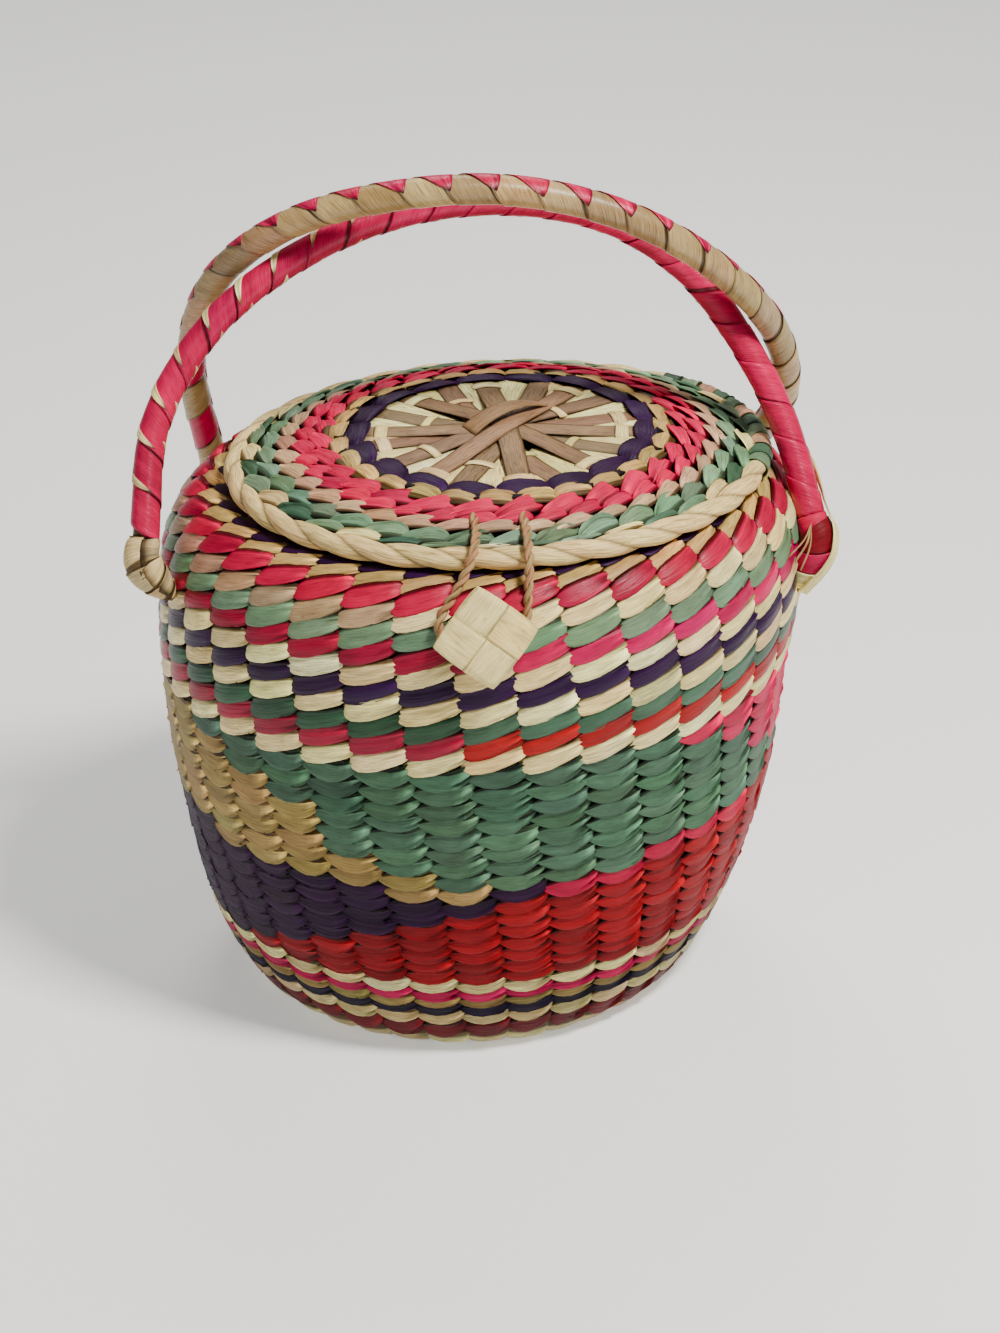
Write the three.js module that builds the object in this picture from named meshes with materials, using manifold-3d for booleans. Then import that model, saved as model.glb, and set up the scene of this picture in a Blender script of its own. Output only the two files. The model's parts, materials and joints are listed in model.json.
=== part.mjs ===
// A twined palm basket bag: an oval ribbed basket with a domed lid, two wound palm handles
// and a plaited button held by a cord loop.
// Millimetres, +Z up. +X runs along the bag's width and the button faces -Y.
import * as THREE from "three";
import { mergeVertices } from "three/addons/utils/BufferGeometryUtils.js";
import Module from "manifold-3d";

const wasm = await Module();
wasm.setup();

// Driving dimensions of the basket
const WALL = 4; // a stake with a palm strand on either side of it
const STAKES = 36; // upright stakes round the body, each one a rib
const POINTS_PER_STAKE = 3;
const STAKE_LEAN = 1.7; // stake pitches that a column moves sideways from the mouth to the base
const GAP = 0.3; // clearance between pieces that touch

// Outer sections of the basket, from the base up. shift is the oval's centre along X,
// and rib is how far the stakes stand proud of the oval.
const BODY_SECTIONS = [
  { z: 0, halfWidth: 78, halfDepth: 74, shift: -8.5, rib: 0 },
  { z: 3.5, halfWidth: 84, halfDepth: 79.5, shift: -8.5, rib: 1.8 },
  { z: 9, halfWidth: 89.5, halfDepth: 83, shift: -8, rib: 1.2 },
  { z: 20, halfWidth: 96, halfDepth: 87, shift: -7.5, rib: 1.2 },
  { z: 38, halfWidth: 103, halfDepth: 91.5, shift: -6.5, rib: 1.2 },
  { z: 71, halfWidth: 111.5, halfDepth: 96.5, shift: -4.5, rib: 1.2 },
  { z: 106, halfWidth: 116.5, halfDepth: 100.5, shift: -4, rib: 1.2 },
  { z: 138, halfWidth: 119, halfDepth: 102.5, shift: -2.5, rib: 1 },
  { z: 165, halfWidth: 120, halfDepth: 103.5, shift: 0, rib: 1 },
  { z: 183, halfWidth: 118, halfDepth: 101, shift: 1, rib: 1 },
  { z: 195, halfWidth: 112.5, halfDepth: 96.5, shift: 2, rib: 0.8 },
  { z: 201.5, halfWidth: 105, halfDepth: 90, shift: 3, rib: 0.6 },
  { z: 203.8, halfWidth: 95, halfDepth: 80, shift: 4, rib: 0 },
];
const FLOOR_TOP = 4;
const BODY_TOP = BODY_SECTIONS.at(-1).z;

// Lid: a domed oval panel inside a rope rim, sitting a little to +X of the basket's centre
const LID_SHIFT = 6.5;
const LID_DEPTH_RATIO = 0.855; // depth of the lid's ovals over their width
const ROPE_RADIUS = 4.5;
const ROPE_HALF_WIDTH = 98.5; // to the middle of the rope
const ROPE_Z = BODY_TOP + GAP + ROPE_RADIUS;
const ROPE_SIDES = 8;
const ROPE_STEPS = 72;
const LID_THICKNESS = 4.5;
const LID_SPOKES = 36;
const POINTS_PER_SPOKE = 3;
// Upper surface of the lid from its edge to its centre, with pleats on the outer rows
const LID_SECTIONS = [
  { halfWidth: ROPE_HALF_WIDTH - ROPE_RADIUS - 2 * GAP, z: 211.5, pleat: 0 },
  { halfWidth: 88, z: 213.5, pleat: 0.7 },
  { halfWidth: 73, z: 216.5, pleat: 0.7 },
  { halfWidth: 56, z: 219, pleat: 0.5 },
  { halfWidth: 30, z: 220.5, pleat: 0 },
];
const LID_CROWN = { halfWidth: 8, z: 221, pleat: 0 };

// Bowed palm strip over the middle of the lid's star
const STRIP = { length: 36, width: 8, thickness: 1.2, rise: 5, x: 11, y: 3, turnDeg: 27 };
const BAND_STEPS = 10; // facets along a bent strip

// Handles: centre lines from the left end over the top to the right end
const HANDLE_RADIUS = 6;
const HANDLE_SIDES = 10;
const HANDLE_STEPS = 36;
const FRONT_HANDLE = [
  { x: -127, y: -20, z: 197.5 },
  { x: -119, y: 0, z: 233.5 },
  { x: -96.5, y: 14, z: 263 },
  { x: -62, y: 22, z: 285 },
  { x: -22, y: 24.5, z: 298 },
  { x: 18.5, y: 23, z: 299.5 },
  { x: 54, y: 18.5, z: 290.5 },
  { x: 81, y: 11, z: 271.5 },
  { x: 99.5, y: 0, z: 246 },
  { x: 112.5, y: -15, z: 217.5 },
  { x: 118.5, y: -33, z: 189 },
];
const BACK_HANDLE = [
  { x: -94, y: 72.5, z: 180.5 },
  { x: -101.5, y: 53.5, z: 234.5 },
  { x: -91.5, y: 34.5, z: 273.5 },
  { x: -65.5, y: 17, z: 299.5 },
  { x: -28.5, y: 2.5, z: 313 },
  { x: 13, y: -6.5, z: 315 },
  { x: 52.5, y: -11, z: 304 },
  { x: 86, y: -9.5, z: 281.5 },
  { x: 110.5, y: 0.5, z: 251.5 },
  { x: 121, y: 20.5, z: 217 },
  { x: 115, y: 51.5, z: 179.5 },
];

// Lashings: wound palm bulbs that carry on from a handle's end and taper into the wall at tip
const LASHING_SIDES = 10;
const LASHING_RADII = [6.3, 7.2, 7.6, 7, 5.6, 3.8];
const LASHING_LEAD = 9; // how far it follows the handle's direction before it turns to its tip
const LASHINGS = [
  { name: "lashing_front_left", line: FRONT_HANDLE, atStart: true, tip: { x: -119, y: -22, z: 174 } },
  { name: "lashing_front_right", line: FRONT_HANDLE, atStart: false, tip: { x: 114, y: -37, z: 161 } },
  { name: "lashing_back_left", line: BACK_HANDLE, atStart: true, tip: { x: -87, y: 71, z: 156 } },
  { name: "lashing_back_right", line: BACK_HANDLE, atStart: false, tip: { x: 104, y: 51, z: 156 } },
];

// Button: a plaited palm square that hangs cornerwise and leans back with the basket's shoulder
const BUTTON = { side: 28, thickness: 4, bevel: 1.2, bevelSegments: 2, leanDeg: 14.5, turnDeg: 50 };
const BUTTON_CENTRE = { x: -16, y: -108, z: 191.5 };
const STEM = { radius: 2, length: 5.5, sides: 12 };

// Loop: a twisted cord out of the lid, over its rope, round behind the button and back
const LOOP_RADIUS = 1.75;
const LOOP_SIDES = 8;
const LOOP_STEPS = 40;
const LOOP_ROUTE = [
  { x: -13, y: -66, z: 217.6 },
  { x: -13.5, y: -75, z: 216.8 },
  { x: -15.5, y: -84.5, z: 215.9 },
  { x: -18.5, y: -91.2, z: 211.5 },
  { x: -24, y: -95.5, z: 204 },
  { x: -31, y: -99.5, z: 194 },
  { x: -28, y: -103, z: 184 },
  { x: -16, y: -104.3, z: 178.5 },
  { x: -3.5, y: -103.3, z: 184 },
  { x: 0, y: -100, z: 194 },
  { x: 1.5, y: -95.5, z: 204 },
  { x: 2.5, y: -91.2, z: 211.5 },
  { x: 3.2, y: -84.5, z: 215.9 },
  { x: 4, y: -75, z: 216.8 },
  { x: 4, y: -66, z: 217.6 },
];

// Back tie: a plain palm strap that holds the lid's rope to the shoulder, as y and z of its mid line
const TIE = { x: 6, width: 20, thickness: 1.6 };
const TIE_LINE = [
  { y: 83.5, z: 215.2 },
  { y: 89.5, z: 213.2 },
  { y: 91.2, z: 208 },
  { y: 93.2, z: 203.5 },
  { y: 98.2, z: 197 },
  { y: 101.8, z: 190 },
  { y: 103.8, z: 184 },
];

const WELD = 1e-4; // points closer than this are one point
const SATIN = 0.55; // roughness of the wound handles
const MATTE = 0.7; // roughness of all the other palm

const radians = THREE.MathUtils.degToRad;
const vector = ({ x, y, z }) => new THREE.Vector3(x, y, z);
const curveThrough = (rows) => new THREE.CatmullRomCurve3(rows.map(vector));

// A closed solid through rings of equal length, with a fan of triangles over each end
function solidFromRings(rings) {
  const sides = rings[0].length;
  const centre = (ring) => ring.reduce((sum, p) => sum.add(p), new THREE.Vector3()).divideScalar(sides);
  const points = [...rings.flat(), centre(rings[0]), centre(rings.at(-1))];
  const [firstCentre, lastCentre] = [points.length - 2, points.length - 1];
  const lastRing = (rings.length - 1) * sides;
  const index = [];
  for (let j = 0; j < sides; j += 1) {
    const k = (j + 1) % sides;
    index.push(firstCentre, k, j, lastCentre, lastRing + j, lastRing + k);
    for (let row = 0; row < lastRing; row += sides) {
      index.push(row + j, row + k, row + sides + k, row + j, row + sides + k, row + sides + j);
    }
  }
  const geometry = new THREE.BufferGeometry().setFromPoints(points);
  geometry.setIndex(index);
  geometry.computeVertexNormals();
  return geometry;
}

// An oval ring; wave lifts its points outwards by an amount for each angle
function ovalRing({ z, halfWidth, halfDepth, shift = 0 }, sides, wave = () => 0) {
  return Array.from({ length: sides }, (_, j) => {
    const angle = (2 * Math.PI * j) / sides;
    const lift = wave(angle);
    const x = shift + (halfWidth + lift) * Math.cos(angle);
    const y = (halfDepth + lift) * Math.sin(angle);
    return new THREE.Vector3(x, y, z);
  });
}

// The basket's outer rings, grown by grow; columns of stakes lean towards +X on the front going down
function outerRings(grow) {
  return BODY_SECTIONS.map((section) => {
    const lean = ((2 * Math.PI * STAKE_LEAN) / STAKES) * (1 - section.z / BODY_TOP);
    const wave = (angle) => grow + section.rib * Math.cos(STAKES * (angle - lean));
    return ovalRing(section, STAKES * POINTS_PER_STAKE, wave);
  });
}

function bodyWall() {
  const [, baseEdge] = BODY_SECTIONS;
  const inside = BODY_SECTIONS.filter(({ z }) => z > FLOOR_TOP).reverse();
  const everyOther = inside.filter((_, row) => row % 2 === 0);
  const innerRings = [...everyOther, { ...baseEdge, z: FLOOR_TOP }].map((section) =>
    ovalRing(section, STAKES * POINTS_PER_STAKE, () => -WALL),
  );
  return solidFromRings([...outerRings(0), ...innerRings]);
}

function lidPanel() {
  const sides = LID_SPOKES * POINTS_PER_SPOKE;
  const ring = ({ halfWidth, z, pleat }, drop) => {
    const oval = { z: z - drop, halfWidth, halfDepth: halfWidth * LID_DEPTH_RATIO, shift: LID_SHIFT };
    const points = ovalRing(oval, sides);
    points.forEach((p, j) => {
      p.z += pleat * Math.cos((LID_SPOKES * 2 * Math.PI * j) / sides);
    });
    return points;
  };
  const everyOther = LID_SECTIONS.filter((_, row) => row % 2 === 0).reverse();
  const underside = everyOther.map((section) => ring({ ...section, pleat: 0 }, LID_THICKNESS));
  const top = [...LID_SECTIONS, LID_CROWN].map((section) => ring(section, 0));
  return solidFromRings([...underside, ...top]);
}

function lidRim() {
  const profile = Array.from({ length: ROPE_SIDES + 1 }, (_, j) => {
    const angle = (2 * Math.PI * j) / ROPE_SIDES;
    return new THREE.Vector2(ROPE_HALF_WIDTH + ROPE_RADIUS * Math.cos(angle), ROPE_RADIUS * Math.sin(angle));
  });
  const geometry = new THREE.LatheGeometry(profile, ROPE_STEPS);
  geometry.rotateX(Math.PI / 2);
  geometry.scale(1, LID_DEPTH_RATIO, 1);
  geometry.translate(LID_SHIFT, 0, ROPE_Z);
  return geometry;
}

// A band of constant thickness along a line of points, as a shape
function bandShape(line, thickness) {
  const curve = new THREE.SplineCurve(line);
  const side = (sign) =>
    Array.from({ length: BAND_STEPS + 1 }, (_, i) => {
      const t = i / BAND_STEPS;
      const tangent = curve.getTangent(t);
      const offset = (sign * thickness) / 2;
      return curve.getPoint(t).add(new THREE.Vector2(-tangent.y * offset, tangent.x * offset));
    });
  return new THREE.Shape([...side(-1), ...side(1).reverse()]);
}

function lidStrip() {
  const line = [-1, -0.5, 0, 0.5, 1].map(
    (t) => new THREE.Vector2((t * STRIP.length) / 2, STRIP.rise * (1 - t * t)),
  );
  const geometry = new THREE.ExtrudeGeometry(bandShape(line, STRIP.thickness), {
    depth: STRIP.width,
    bevelEnabled: false,
  });
  geometry.translate(0, STRIP.thickness + GAP, -STRIP.width / 2);
  geometry.rotateX(Math.PI / 2);
  geometry.rotateZ(radians(STRIP.turnDeg));
  geometry.translate(STRIP.x, STRIP.y, LID_CROWN.z);
  return geometry;
}

function backTie() {
  const line = TIE_LINE.map(({ y, z }) => new THREE.Vector2(y, z));
  const geometry = new THREE.ExtrudeGeometry(bandShape(line, TIE.thickness), {
    depth: TIE.width,
    bevelEnabled: false,
  });
  geometry.translate(0, 0, -TIE.width / 2);
  geometry.rotateX(Math.PI / 2);
  geometry.rotateZ(Math.PI / 2);
  geometry.translate(TIE.x, 0, 0);
  return geometry;
}

// A round tube of constant radius along a line of points
function tube(rows, radius, sides, steps) {
  const section = new THREE.Shape(
    Array.from({ length: sides }, (_, j) => {
      const angle = (2 * Math.PI * j) / sides;
      return new THREE.Vector2(radius * Math.cos(angle), radius * Math.sin(angle));
    }),
  );
  return new THREE.ExtrudeGeometry(section, { steps, extrudePath: curveThrough(rows), bevelEnabled: false });
}

// Closed meshes to solids that can be cut, and back
function toSolid(geometry) {
  const bare = geometry.clone();
  bare.deleteAttribute("normal");
  bare.deleteAttribute("uv");
  const merged = mergeVertices(bare, WELD);
  const mesh = new wasm.Mesh({
    numProp: 3,
    vertProperties: new Float32Array(merged.attributes.position.array),
    triVerts: new Uint32Array(merged.index.array),
  });
  return new wasm.Manifold(mesh);
}

function toGeometry(solid) {
  const mesh = solid.getMesh();
  const geometry = new THREE.BufferGeometry();
  geometry.setAttribute("position", new THREE.BufferAttribute(new Float32Array(mesh.vertProperties), 3));
  geometry.setIndex(new THREE.BufferAttribute(new Uint32Array(mesh.triVerts), 1));
  geometry.computeVertexNormals();
  return geometry;
}

// A bulb along the last stretch of a handle, cut back where it meets the basket's wall
function lashing({ line, atStart, tip }, basket) {
  const handle = curveThrough(line);
  const end = handle.getPoint(atStart ? 0 : 1);
  const down = handle.getTangent(atStart ? 0 : 1).multiplyScalar(atStart ? -1 : 1);
  const start = end.clone().addScaledVector(down, GAP);
  const shoulder = start.clone().addScaledVector(down, LASHING_LEAD);
  const route = new THREE.CatmullRomCurve3([start, shoulder, vector(tip)]);
  const steps = LASHING_RADII.length - 1;
  const frames = route.computeFrenetFrames(steps);
  const rings = LASHING_RADII.map((radius, i) => {
    const middle = route.getPointAt(i / steps);
    return Array.from({ length: LASHING_SIDES }, (_, j) => {
      const angle = (2 * Math.PI * j) / LASHING_SIDES;
      return middle
        .clone()
        .addScaledVector(frames.normals[i], radius * Math.cos(angle))
        .addScaledVector(frames.binormals[i], radius * Math.sin(angle));
    });
  });
  return toGeometry(toSolid(solidFromRings(rings)).subtract(basket));
}

function buttonSquare() {
  const half = BUTTON.side / 2 - BUTTON.bevel;
  const outline = [[-1, -1], [1, -1], [1, 1], [-1, 1]].map(([x, y]) => new THREE.Vector2(x * half, y * half));
  const geometry = new THREE.ExtrudeGeometry(new THREE.Shape(outline), {
    depth: BUTTON.thickness - 2 * BUTTON.bevel,
    bevelSize: BUTTON.bevel,
    bevelThickness: BUTTON.bevel,
    bevelSegments: BUTTON.bevelSegments,
  });
  geometry.translate(0, 0, BUTTON.bevel - BUTTON.thickness / 2);
  geometry.rotateZ(radians(BUTTON.turnDeg));
  return geometry;
}

// The post behind the button, from its back to just off the wall
function buttonStem() {
  const geometry = new THREE.CylinderGeometry(STEM.radius, STEM.radius, STEM.length, STEM.sides);
  geometry.rotateX(Math.PI / 2);
  geometry.translate(0, 0, -BUTTON.thickness / 2 - GAP - STEM.length / 2);
  return geometry;
}

function piece(name, geometry, color, roughness = MATTE) {
  const mesh = new THREE.Mesh(geometry, new THREE.MeshStandardMaterial({ color, roughness, metalness: 0 }));
  mesh.name = name;
  return mesh;
}

const bag = new THREE.Group();
const basket = toSolid(solidFromRings(outerRings(GAP)));

bag.add(piece("body_wall", bodyWall(), 0x5f8c78));
bag.add(piece("lid_panel", lidPanel(), 0xc04a60));
bag.add(piece("lid_rim", lidRim(), 0xdcc896));
bag.add(piece("lid_center_strip", lidStrip(), 0xa58c73));
bag.add(piece("lid_back_tie", backTie(), 0xc3a573));
const handle = (line) => tube(line, HANDLE_RADIUS, HANDLE_SIDES, HANDLE_STEPS);
bag.add(piece("handle_front", handle(FRONT_HANDLE), 0xd23c55, SATIN));
bag.add(piece("handle_back", handle(BACK_HANDLE), 0xc3a573, SATIN));
for (const row of LASHINGS) {
  bag.add(piece(row.name, lashing(row, basket), 0xd8c79c));
}
bag.add(piece("closure_loop", tube(LOOP_ROUTE, LOOP_RADIUS, LOOP_SIDES, LOOP_STEPS), 0xb99b6b));

const fastening = new THREE.Group();
fastening.position.copy(vector(BUTTON_CENTRE));
fastening.rotation.x = radians(90 - BUTTON.leanDeg);
fastening.add(piece("closure_button", buttonSquare(), 0xcbb27c));
fastening.add(piece("button_stem", buttonStem(), 0xb99b6b));
bag.add(fastening);

// The origin is the middle of the whole bag's footprint, on the surface it stands on
const reach = new THREE.Box3().setFromObject(bag, true);
const middle = reach.getCenter(new THREE.Vector3());
bag.position.set(-middle.x, -middle.y, -reach.min.z);

export default bag;
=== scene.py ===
# %% [markdown]
# A twined palm basket bag: stripes of dyed palm leaf twined over upright stakes, a domed lid with a rope
# rim, two wound handles and a plaited button in a cord loop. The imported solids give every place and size,
# and the strands that are seen are built around them. First the frame is loaded, and its box is kept.

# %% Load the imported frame
import json
import math

import bpy
import numpy as np
from mathutils import Matrix


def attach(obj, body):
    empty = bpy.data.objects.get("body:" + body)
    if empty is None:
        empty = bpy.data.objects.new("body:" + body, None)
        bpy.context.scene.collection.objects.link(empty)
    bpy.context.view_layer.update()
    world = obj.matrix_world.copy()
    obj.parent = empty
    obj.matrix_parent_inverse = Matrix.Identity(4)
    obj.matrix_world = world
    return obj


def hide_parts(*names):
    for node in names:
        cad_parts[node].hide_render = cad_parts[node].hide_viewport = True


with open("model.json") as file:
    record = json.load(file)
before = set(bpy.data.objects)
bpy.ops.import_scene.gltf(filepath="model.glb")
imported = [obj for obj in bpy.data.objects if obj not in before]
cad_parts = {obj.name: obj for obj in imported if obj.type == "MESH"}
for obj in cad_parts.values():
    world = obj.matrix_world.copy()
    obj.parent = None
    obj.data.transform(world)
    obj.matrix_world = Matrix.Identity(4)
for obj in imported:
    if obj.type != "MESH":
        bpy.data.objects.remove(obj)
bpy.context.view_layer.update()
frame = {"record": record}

MM = 0.001
ORIGIN = np.array(frame["record"]["mounts"][0]["pos_m"])


def to_frame(points):
    """Millimetres from the middle of the basket's base, as metres in the row frame."""
    return np.asarray(points, float) * MM + ORIGIN


# %% [markdown]
# The camera stands where the photograph was taken from: about 1.3 m away, 29 degrees above the horizon and
# a little to the left. A constraint could aim it, but a matrix made of its own right, up and backward
# directions needs no second object, and the lamps use the same function. A focal length in pixels becomes a
# lens by the ratio of the sensor to the image's long side.

# %% Camera
IMAGE_HEIGHT_PX = 1333
FOCAL_PX = 3378
SENSOR_MM = 36
CAMERA_TARGET = (6, 0, 119)
CAMERA_DISTANCE = 1300
CAMERA_AZIMUTH, CAMERA_ELEVATION, CAMERA_ROLL = np.radians([-9, 29, -1])


def unit(vectors):
    """The same directions with length 1."""
    return vectors / np.linalg.norm(vectors, axis=-1, keepdims=True)


def looking(place, target, roll=0.0):
    """Matrix of a camera or lamp at a place that looks at a target, turned by roll about its view."""
    back = unit(np.subtract(place, target))
    level_right = unit(np.cross((0, 0, 1), back))
    level_up = np.cross(back, level_right)
    right = math.cos(roll) * level_right + math.sin(roll) * level_up
    up = math.cos(roll) * level_up - math.sin(roll) * level_right
    turn = Matrix(np.stack([right, up, back], 1).tolist()).to_4x4()
    return Matrix.Translation([float(x) for x in place]) @ turn


flat_reach = math.cos(CAMERA_ELEVATION)
backward = np.array([
    math.sin(CAMERA_AZIMUTH) * flat_reach,
    -math.cos(CAMERA_AZIMUTH) * flat_reach,
    math.sin(CAMERA_ELEVATION),
])
eye = to_frame(np.array(CAMERA_TARGET) + backward * CAMERA_DISTANCE)
camera_data = bpy.data.cameras.new("camera")
camera_data.sensor_width = SENSOR_MM
camera_data.lens = FOCAL_PX / IMAGE_HEIGHT_PX * SENSOR_MM
camera = bpy.data.objects.new("camera", camera_data)
camera.matrix_world = looking(eye, to_frame(CAMERA_TARGET), CAMERA_ROLL)
bpy.context.collection.objects.link(camera)
bpy.context.scene.camera = camera
print("lens", round(camera_data.lens, 2), "mm")


# %% [markdown]
# Everything here follows smooth lines through a few chosen points. A cubic through each pair of points,
# with slopes taken from its neighbours, passes through all of them without the corners of a straight-line
# table. Frames carried along a line, each turned as little as possible from the last, keep tubes from
# twisting.

# %% Smooth lines
FINE_STEPS = 40  # short steps for each point of a line, before they are made even


def smooth_table(x, knots, values):
    """Values between knots on a cubic that passes through all of them."""
    knots, values = np.asarray(knots, float), np.asarray(values, float)
    slopes = np.gradient(values, knots)
    k = np.clip(np.searchsorted(knots, x) - 1, 0, len(knots) - 2)
    step = knots[k + 1] - knots[k]
    t = (x - knots[k]) / step
    start = (1 + 2 * t) * (1 - t) ** 2 * values[k] + t * (1 - t) ** 2 * step * slopes[k]
    end = t**2 * (3 - 2 * t) * values[k + 1] + t**2 * (t - 1) * step * slopes[k + 1]
    return start + end


def lengths_along(line):
    """Length of a line from its start to each of its points."""
    return np.concatenate([[0], np.cumsum(np.linalg.norm(np.diff(line, axis=0), axis=1))])


def curve_through(points, steps):
    """Evenly spaced points on a smooth line through the given ones."""
    points = np.asarray(points, float)
    gaps = np.linalg.norm(np.diff(points, axis=0), axis=1)
    knots = np.concatenate([[0], np.cumsum(gaps**0.5)])
    fine = np.linspace(0, knots[-1], FINE_STEPS * len(points))
    line = np.stack([smooth_table(fine, knots, points[:, axis]) for axis in range(3)], 1)
    length = lengths_along(line)
    even = np.linspace(0, length[-1], steps)
    return np.stack([np.interp(even, length, line[:, axis]) for axis in range(3)], 1)


def carried_frames(line):
    """Normals and sides along a line, each frame carried on from the last."""
    tangents = unit(np.gradient(line, axis=0))
    normals = np.zeros_like(line)
    normal = np.array([0.0, 0.0, 1.0])
    for i, tangent in enumerate(tangents):
        normal = unit(normal - tangent * (normal @ tangent))
        normals[i] = normal
    return normals, np.cross(tangents, normals)


smooth_corner = curve_through([(0, 0, 0), (10, 0, 0), (10, 10, 0)], FINE_STEPS)
print("a smooth corner of two 10 mm runs is", round(lengths_along(smooth_corner)[-1], 1), "mm long")


# %% [markdown]
# A bag like this is hundreds of short palm strands. Each one is a closed tube with a flattened section: a
# ring of points across its face and two behind, repeated along it and capped at both ends. It carries its
# dye with painted light and shade mixed in, a painted shade where it is tucked under its neighbours, and a
# map that runs along the leaf. Arrays hold all the strands of a kind at once, because a loop over single
# points would be slow.

# %% Strands
MAP_UNIT = 10  # the map along the leaf is in centimetres
MAP_SCATTER = 60  # it starts at a random place in each strand, so that no two show the same fibres
CELL_MARGIN = 0.04  # the free edge of a strand's cell in the map for baking


def strand_batch(points, dye_and_painted_light, painted_shade, along, across, rng, tone=1.0):
    """Strands as an array of points (strand, step, ring, xyz) in mm, with what they carry."""
    count, steps, ring = points.shape[:3]
    shape = (count, steps, ring + 1)
    places = np.stack([np.broadcast_to(along, shape), np.broadcast_to(across, shape)], -1) / MAP_UNIT
    places = places + rng.uniform(0, MAP_SCATTER, (count, 1, 1, 2))
    dye_and_painted_light = np.tile(np.asarray(dye_and_painted_light)[:, None, None, :], (1, steps, ring, 1))
    # the tone mixes painted light and shade into the dye: painted highlights on gathered ends, painted shade
    # on sunk folds and low rows
    dye_and_painted_light[..., :3] *= np.broadcast_to(tone, (count, steps, ring))[..., None]
    painted_shade = np.broadcast_to(painted_shade, (count, steps, ring))
    return {"points": points, "dye_and_painted_light": dye_and_painted_light, "painted_shade": painted_shade, "places": places}


def strand_corners(steps, ring):
    """Quads along a strand and a cap at each end, as numbers of step and ring."""
    row, col = np.meshgrid(np.arange(steps - 1), np.arange(ring), indexing="ij")
    quad_rows = np.stack([row, row + 1, row + 1, row], -1).reshape(-1)
    quad_cols = np.stack([col, col, col + 1, col + 1], -1).reshape(-1)
    cap_rows = np.repeat([0, steps - 1], ring)
    cap_cols = np.concatenate([np.arange(ring), np.arange(ring)[::-1]])
    sizes = np.concatenate([np.full((steps - 1) * ring, 4), np.full(2, ring)])
    return np.concatenate([quad_rows, cap_rows]), np.concatenate([quad_cols, cap_cols]), sizes


def facing_out(points, rows, cols, sizes):
    """The corners in the order that turns the faces outwards."""
    middle = points.shape[1] // 2
    here = points[:, middle, 0]
    outward = np.cross(points[:, middle + 1, 0] - here, points[:, middle, 1] - here)
    away = here - points[:, middle].mean(1)
    if (outward * away).sum() >= 0:
        return rows, cols
    order = np.concatenate([np.arange(e - n, e)[::-1] for e, n in zip(np.cumsum(sizes), sizes)])
    return rows[order], cols[order]


def bake_cells(first, count, total, rows, cols, steps, ring):
    """Corners of each strand inside its own square of a grid that all strands share."""
    grid = math.ceil(math.sqrt(total))
    cell = first + np.arange(count)
    corner = np.stack([cell % grid, cell // grid], -1)[:, None, :]
    inside = np.stack([rows / (steps - 1), cols / ring], -1)[None]
    return (corner + CELL_MARGIN + (1 - 2 * CELL_MARGIN) * inside) / grid


print("a strand of 12 rings of 11 points has", len(strand_corners(12, 11)[2]), "faces")


# %% [markdown]
# One mesh is made of all the strands of a piece, which is far quicker than an object for each. Its points
# carry the dye, with painted light and shade mixed in, and the painted shade as attributes, and its corners
# carry two maps: the leaf's own, and one with a cell for each strand, into which the finish can be baked. A
# piece rides on the bag and stands for the solids that it hides.

# %% Meshes of many strands
STRAND_MAP, BAKE_MAP = "strand", "OFBake"
ATTRIBUTES = (("dye_and_painted_light", "FLOAT_COLOR", "color"), ("painted_shade", "FLOAT", "value"))


def joined_strands(batches):
    """Points, corners and maps of all the strands of some batches, one after another."""
    total = sum(len(batch["points"]) for batch in batches)
    parts = {key: [] for key in ("points", "dye_and_painted_light", "painted_shade", "corners", "sizes", STRAND_MAP, BAKE_MAP)}
    first_vertex = first_strand = 0
    for batch in batches:
        count, steps, ring = batch["points"].shape[:3]
        rows, cols, sizes = strand_corners(steps, ring)
        rows, cols = facing_out(batch["points"], rows, cols, sizes)
        strand_start = first_vertex + np.arange(count)[:, None] * steps * ring
        cells = bake_cells(first_strand, count, total, rows, cols, steps, ring)
        parts["points"].append(batch["points"].reshape(-1, 3))
        parts["dye_and_painted_light"].append(batch["dye_and_painted_light"].reshape(-1, 4))
        parts["painted_shade"].append(batch["painted_shade"].reshape(-1))
        parts["corners"].append((strand_start + rows * ring + cols % ring).ravel())
        parts["sizes"].append(np.tile(sizes, count))
        parts[STRAND_MAP].append(batch["places"][:, rows, cols].reshape(-1, 2))
        parts[BAKE_MAP].append(cells.reshape(-1, 2))
        first_vertex += count * steps * ring
        first_strand += count
    return {key: np.concatenate(values) for key, values in parts.items()}


def mesh_of_strands(name, batches):
    """One smooth mesh of all the strands of some batches, in metres in the row frame."""
    joined = joined_strands(batches)
    mesh = bpy.data.meshes.new(name)
    mesh.vertices.add(len(joined["points"]))
    mesh.vertices.foreach_set("co", to_frame(joined["points"]).astype(np.float32).ravel())
    mesh.loops.add(len(joined["corners"]))
    mesh.loops.foreach_set("vertex_index", joined["corners"].astype(np.int32))
    mesh.polygons.add(len(joined["sizes"]))
    starts = np.cumsum(joined["sizes"]) - joined["sizes"]
    mesh.polygons.foreach_set("loop_start", starts.astype(np.int32))
    mesh.update(calc_edges=True)
    mesh.shade_smooth()
    for key, kind, field in ATTRIBUTES:
        layer = mesh.attributes.new(key, kind, "POINT")
        layer.data.foreach_set(field, joined[key].astype(np.float32).ravel())
    for map_name in (STRAND_MAP, BAKE_MAP):
        layer = mesh.uv_layers.new(name=map_name)
        layer.uv.foreach_set("vector", joined[map_name].astype(np.float32).ravel())
    mesh.validate()
    return mesh


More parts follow.
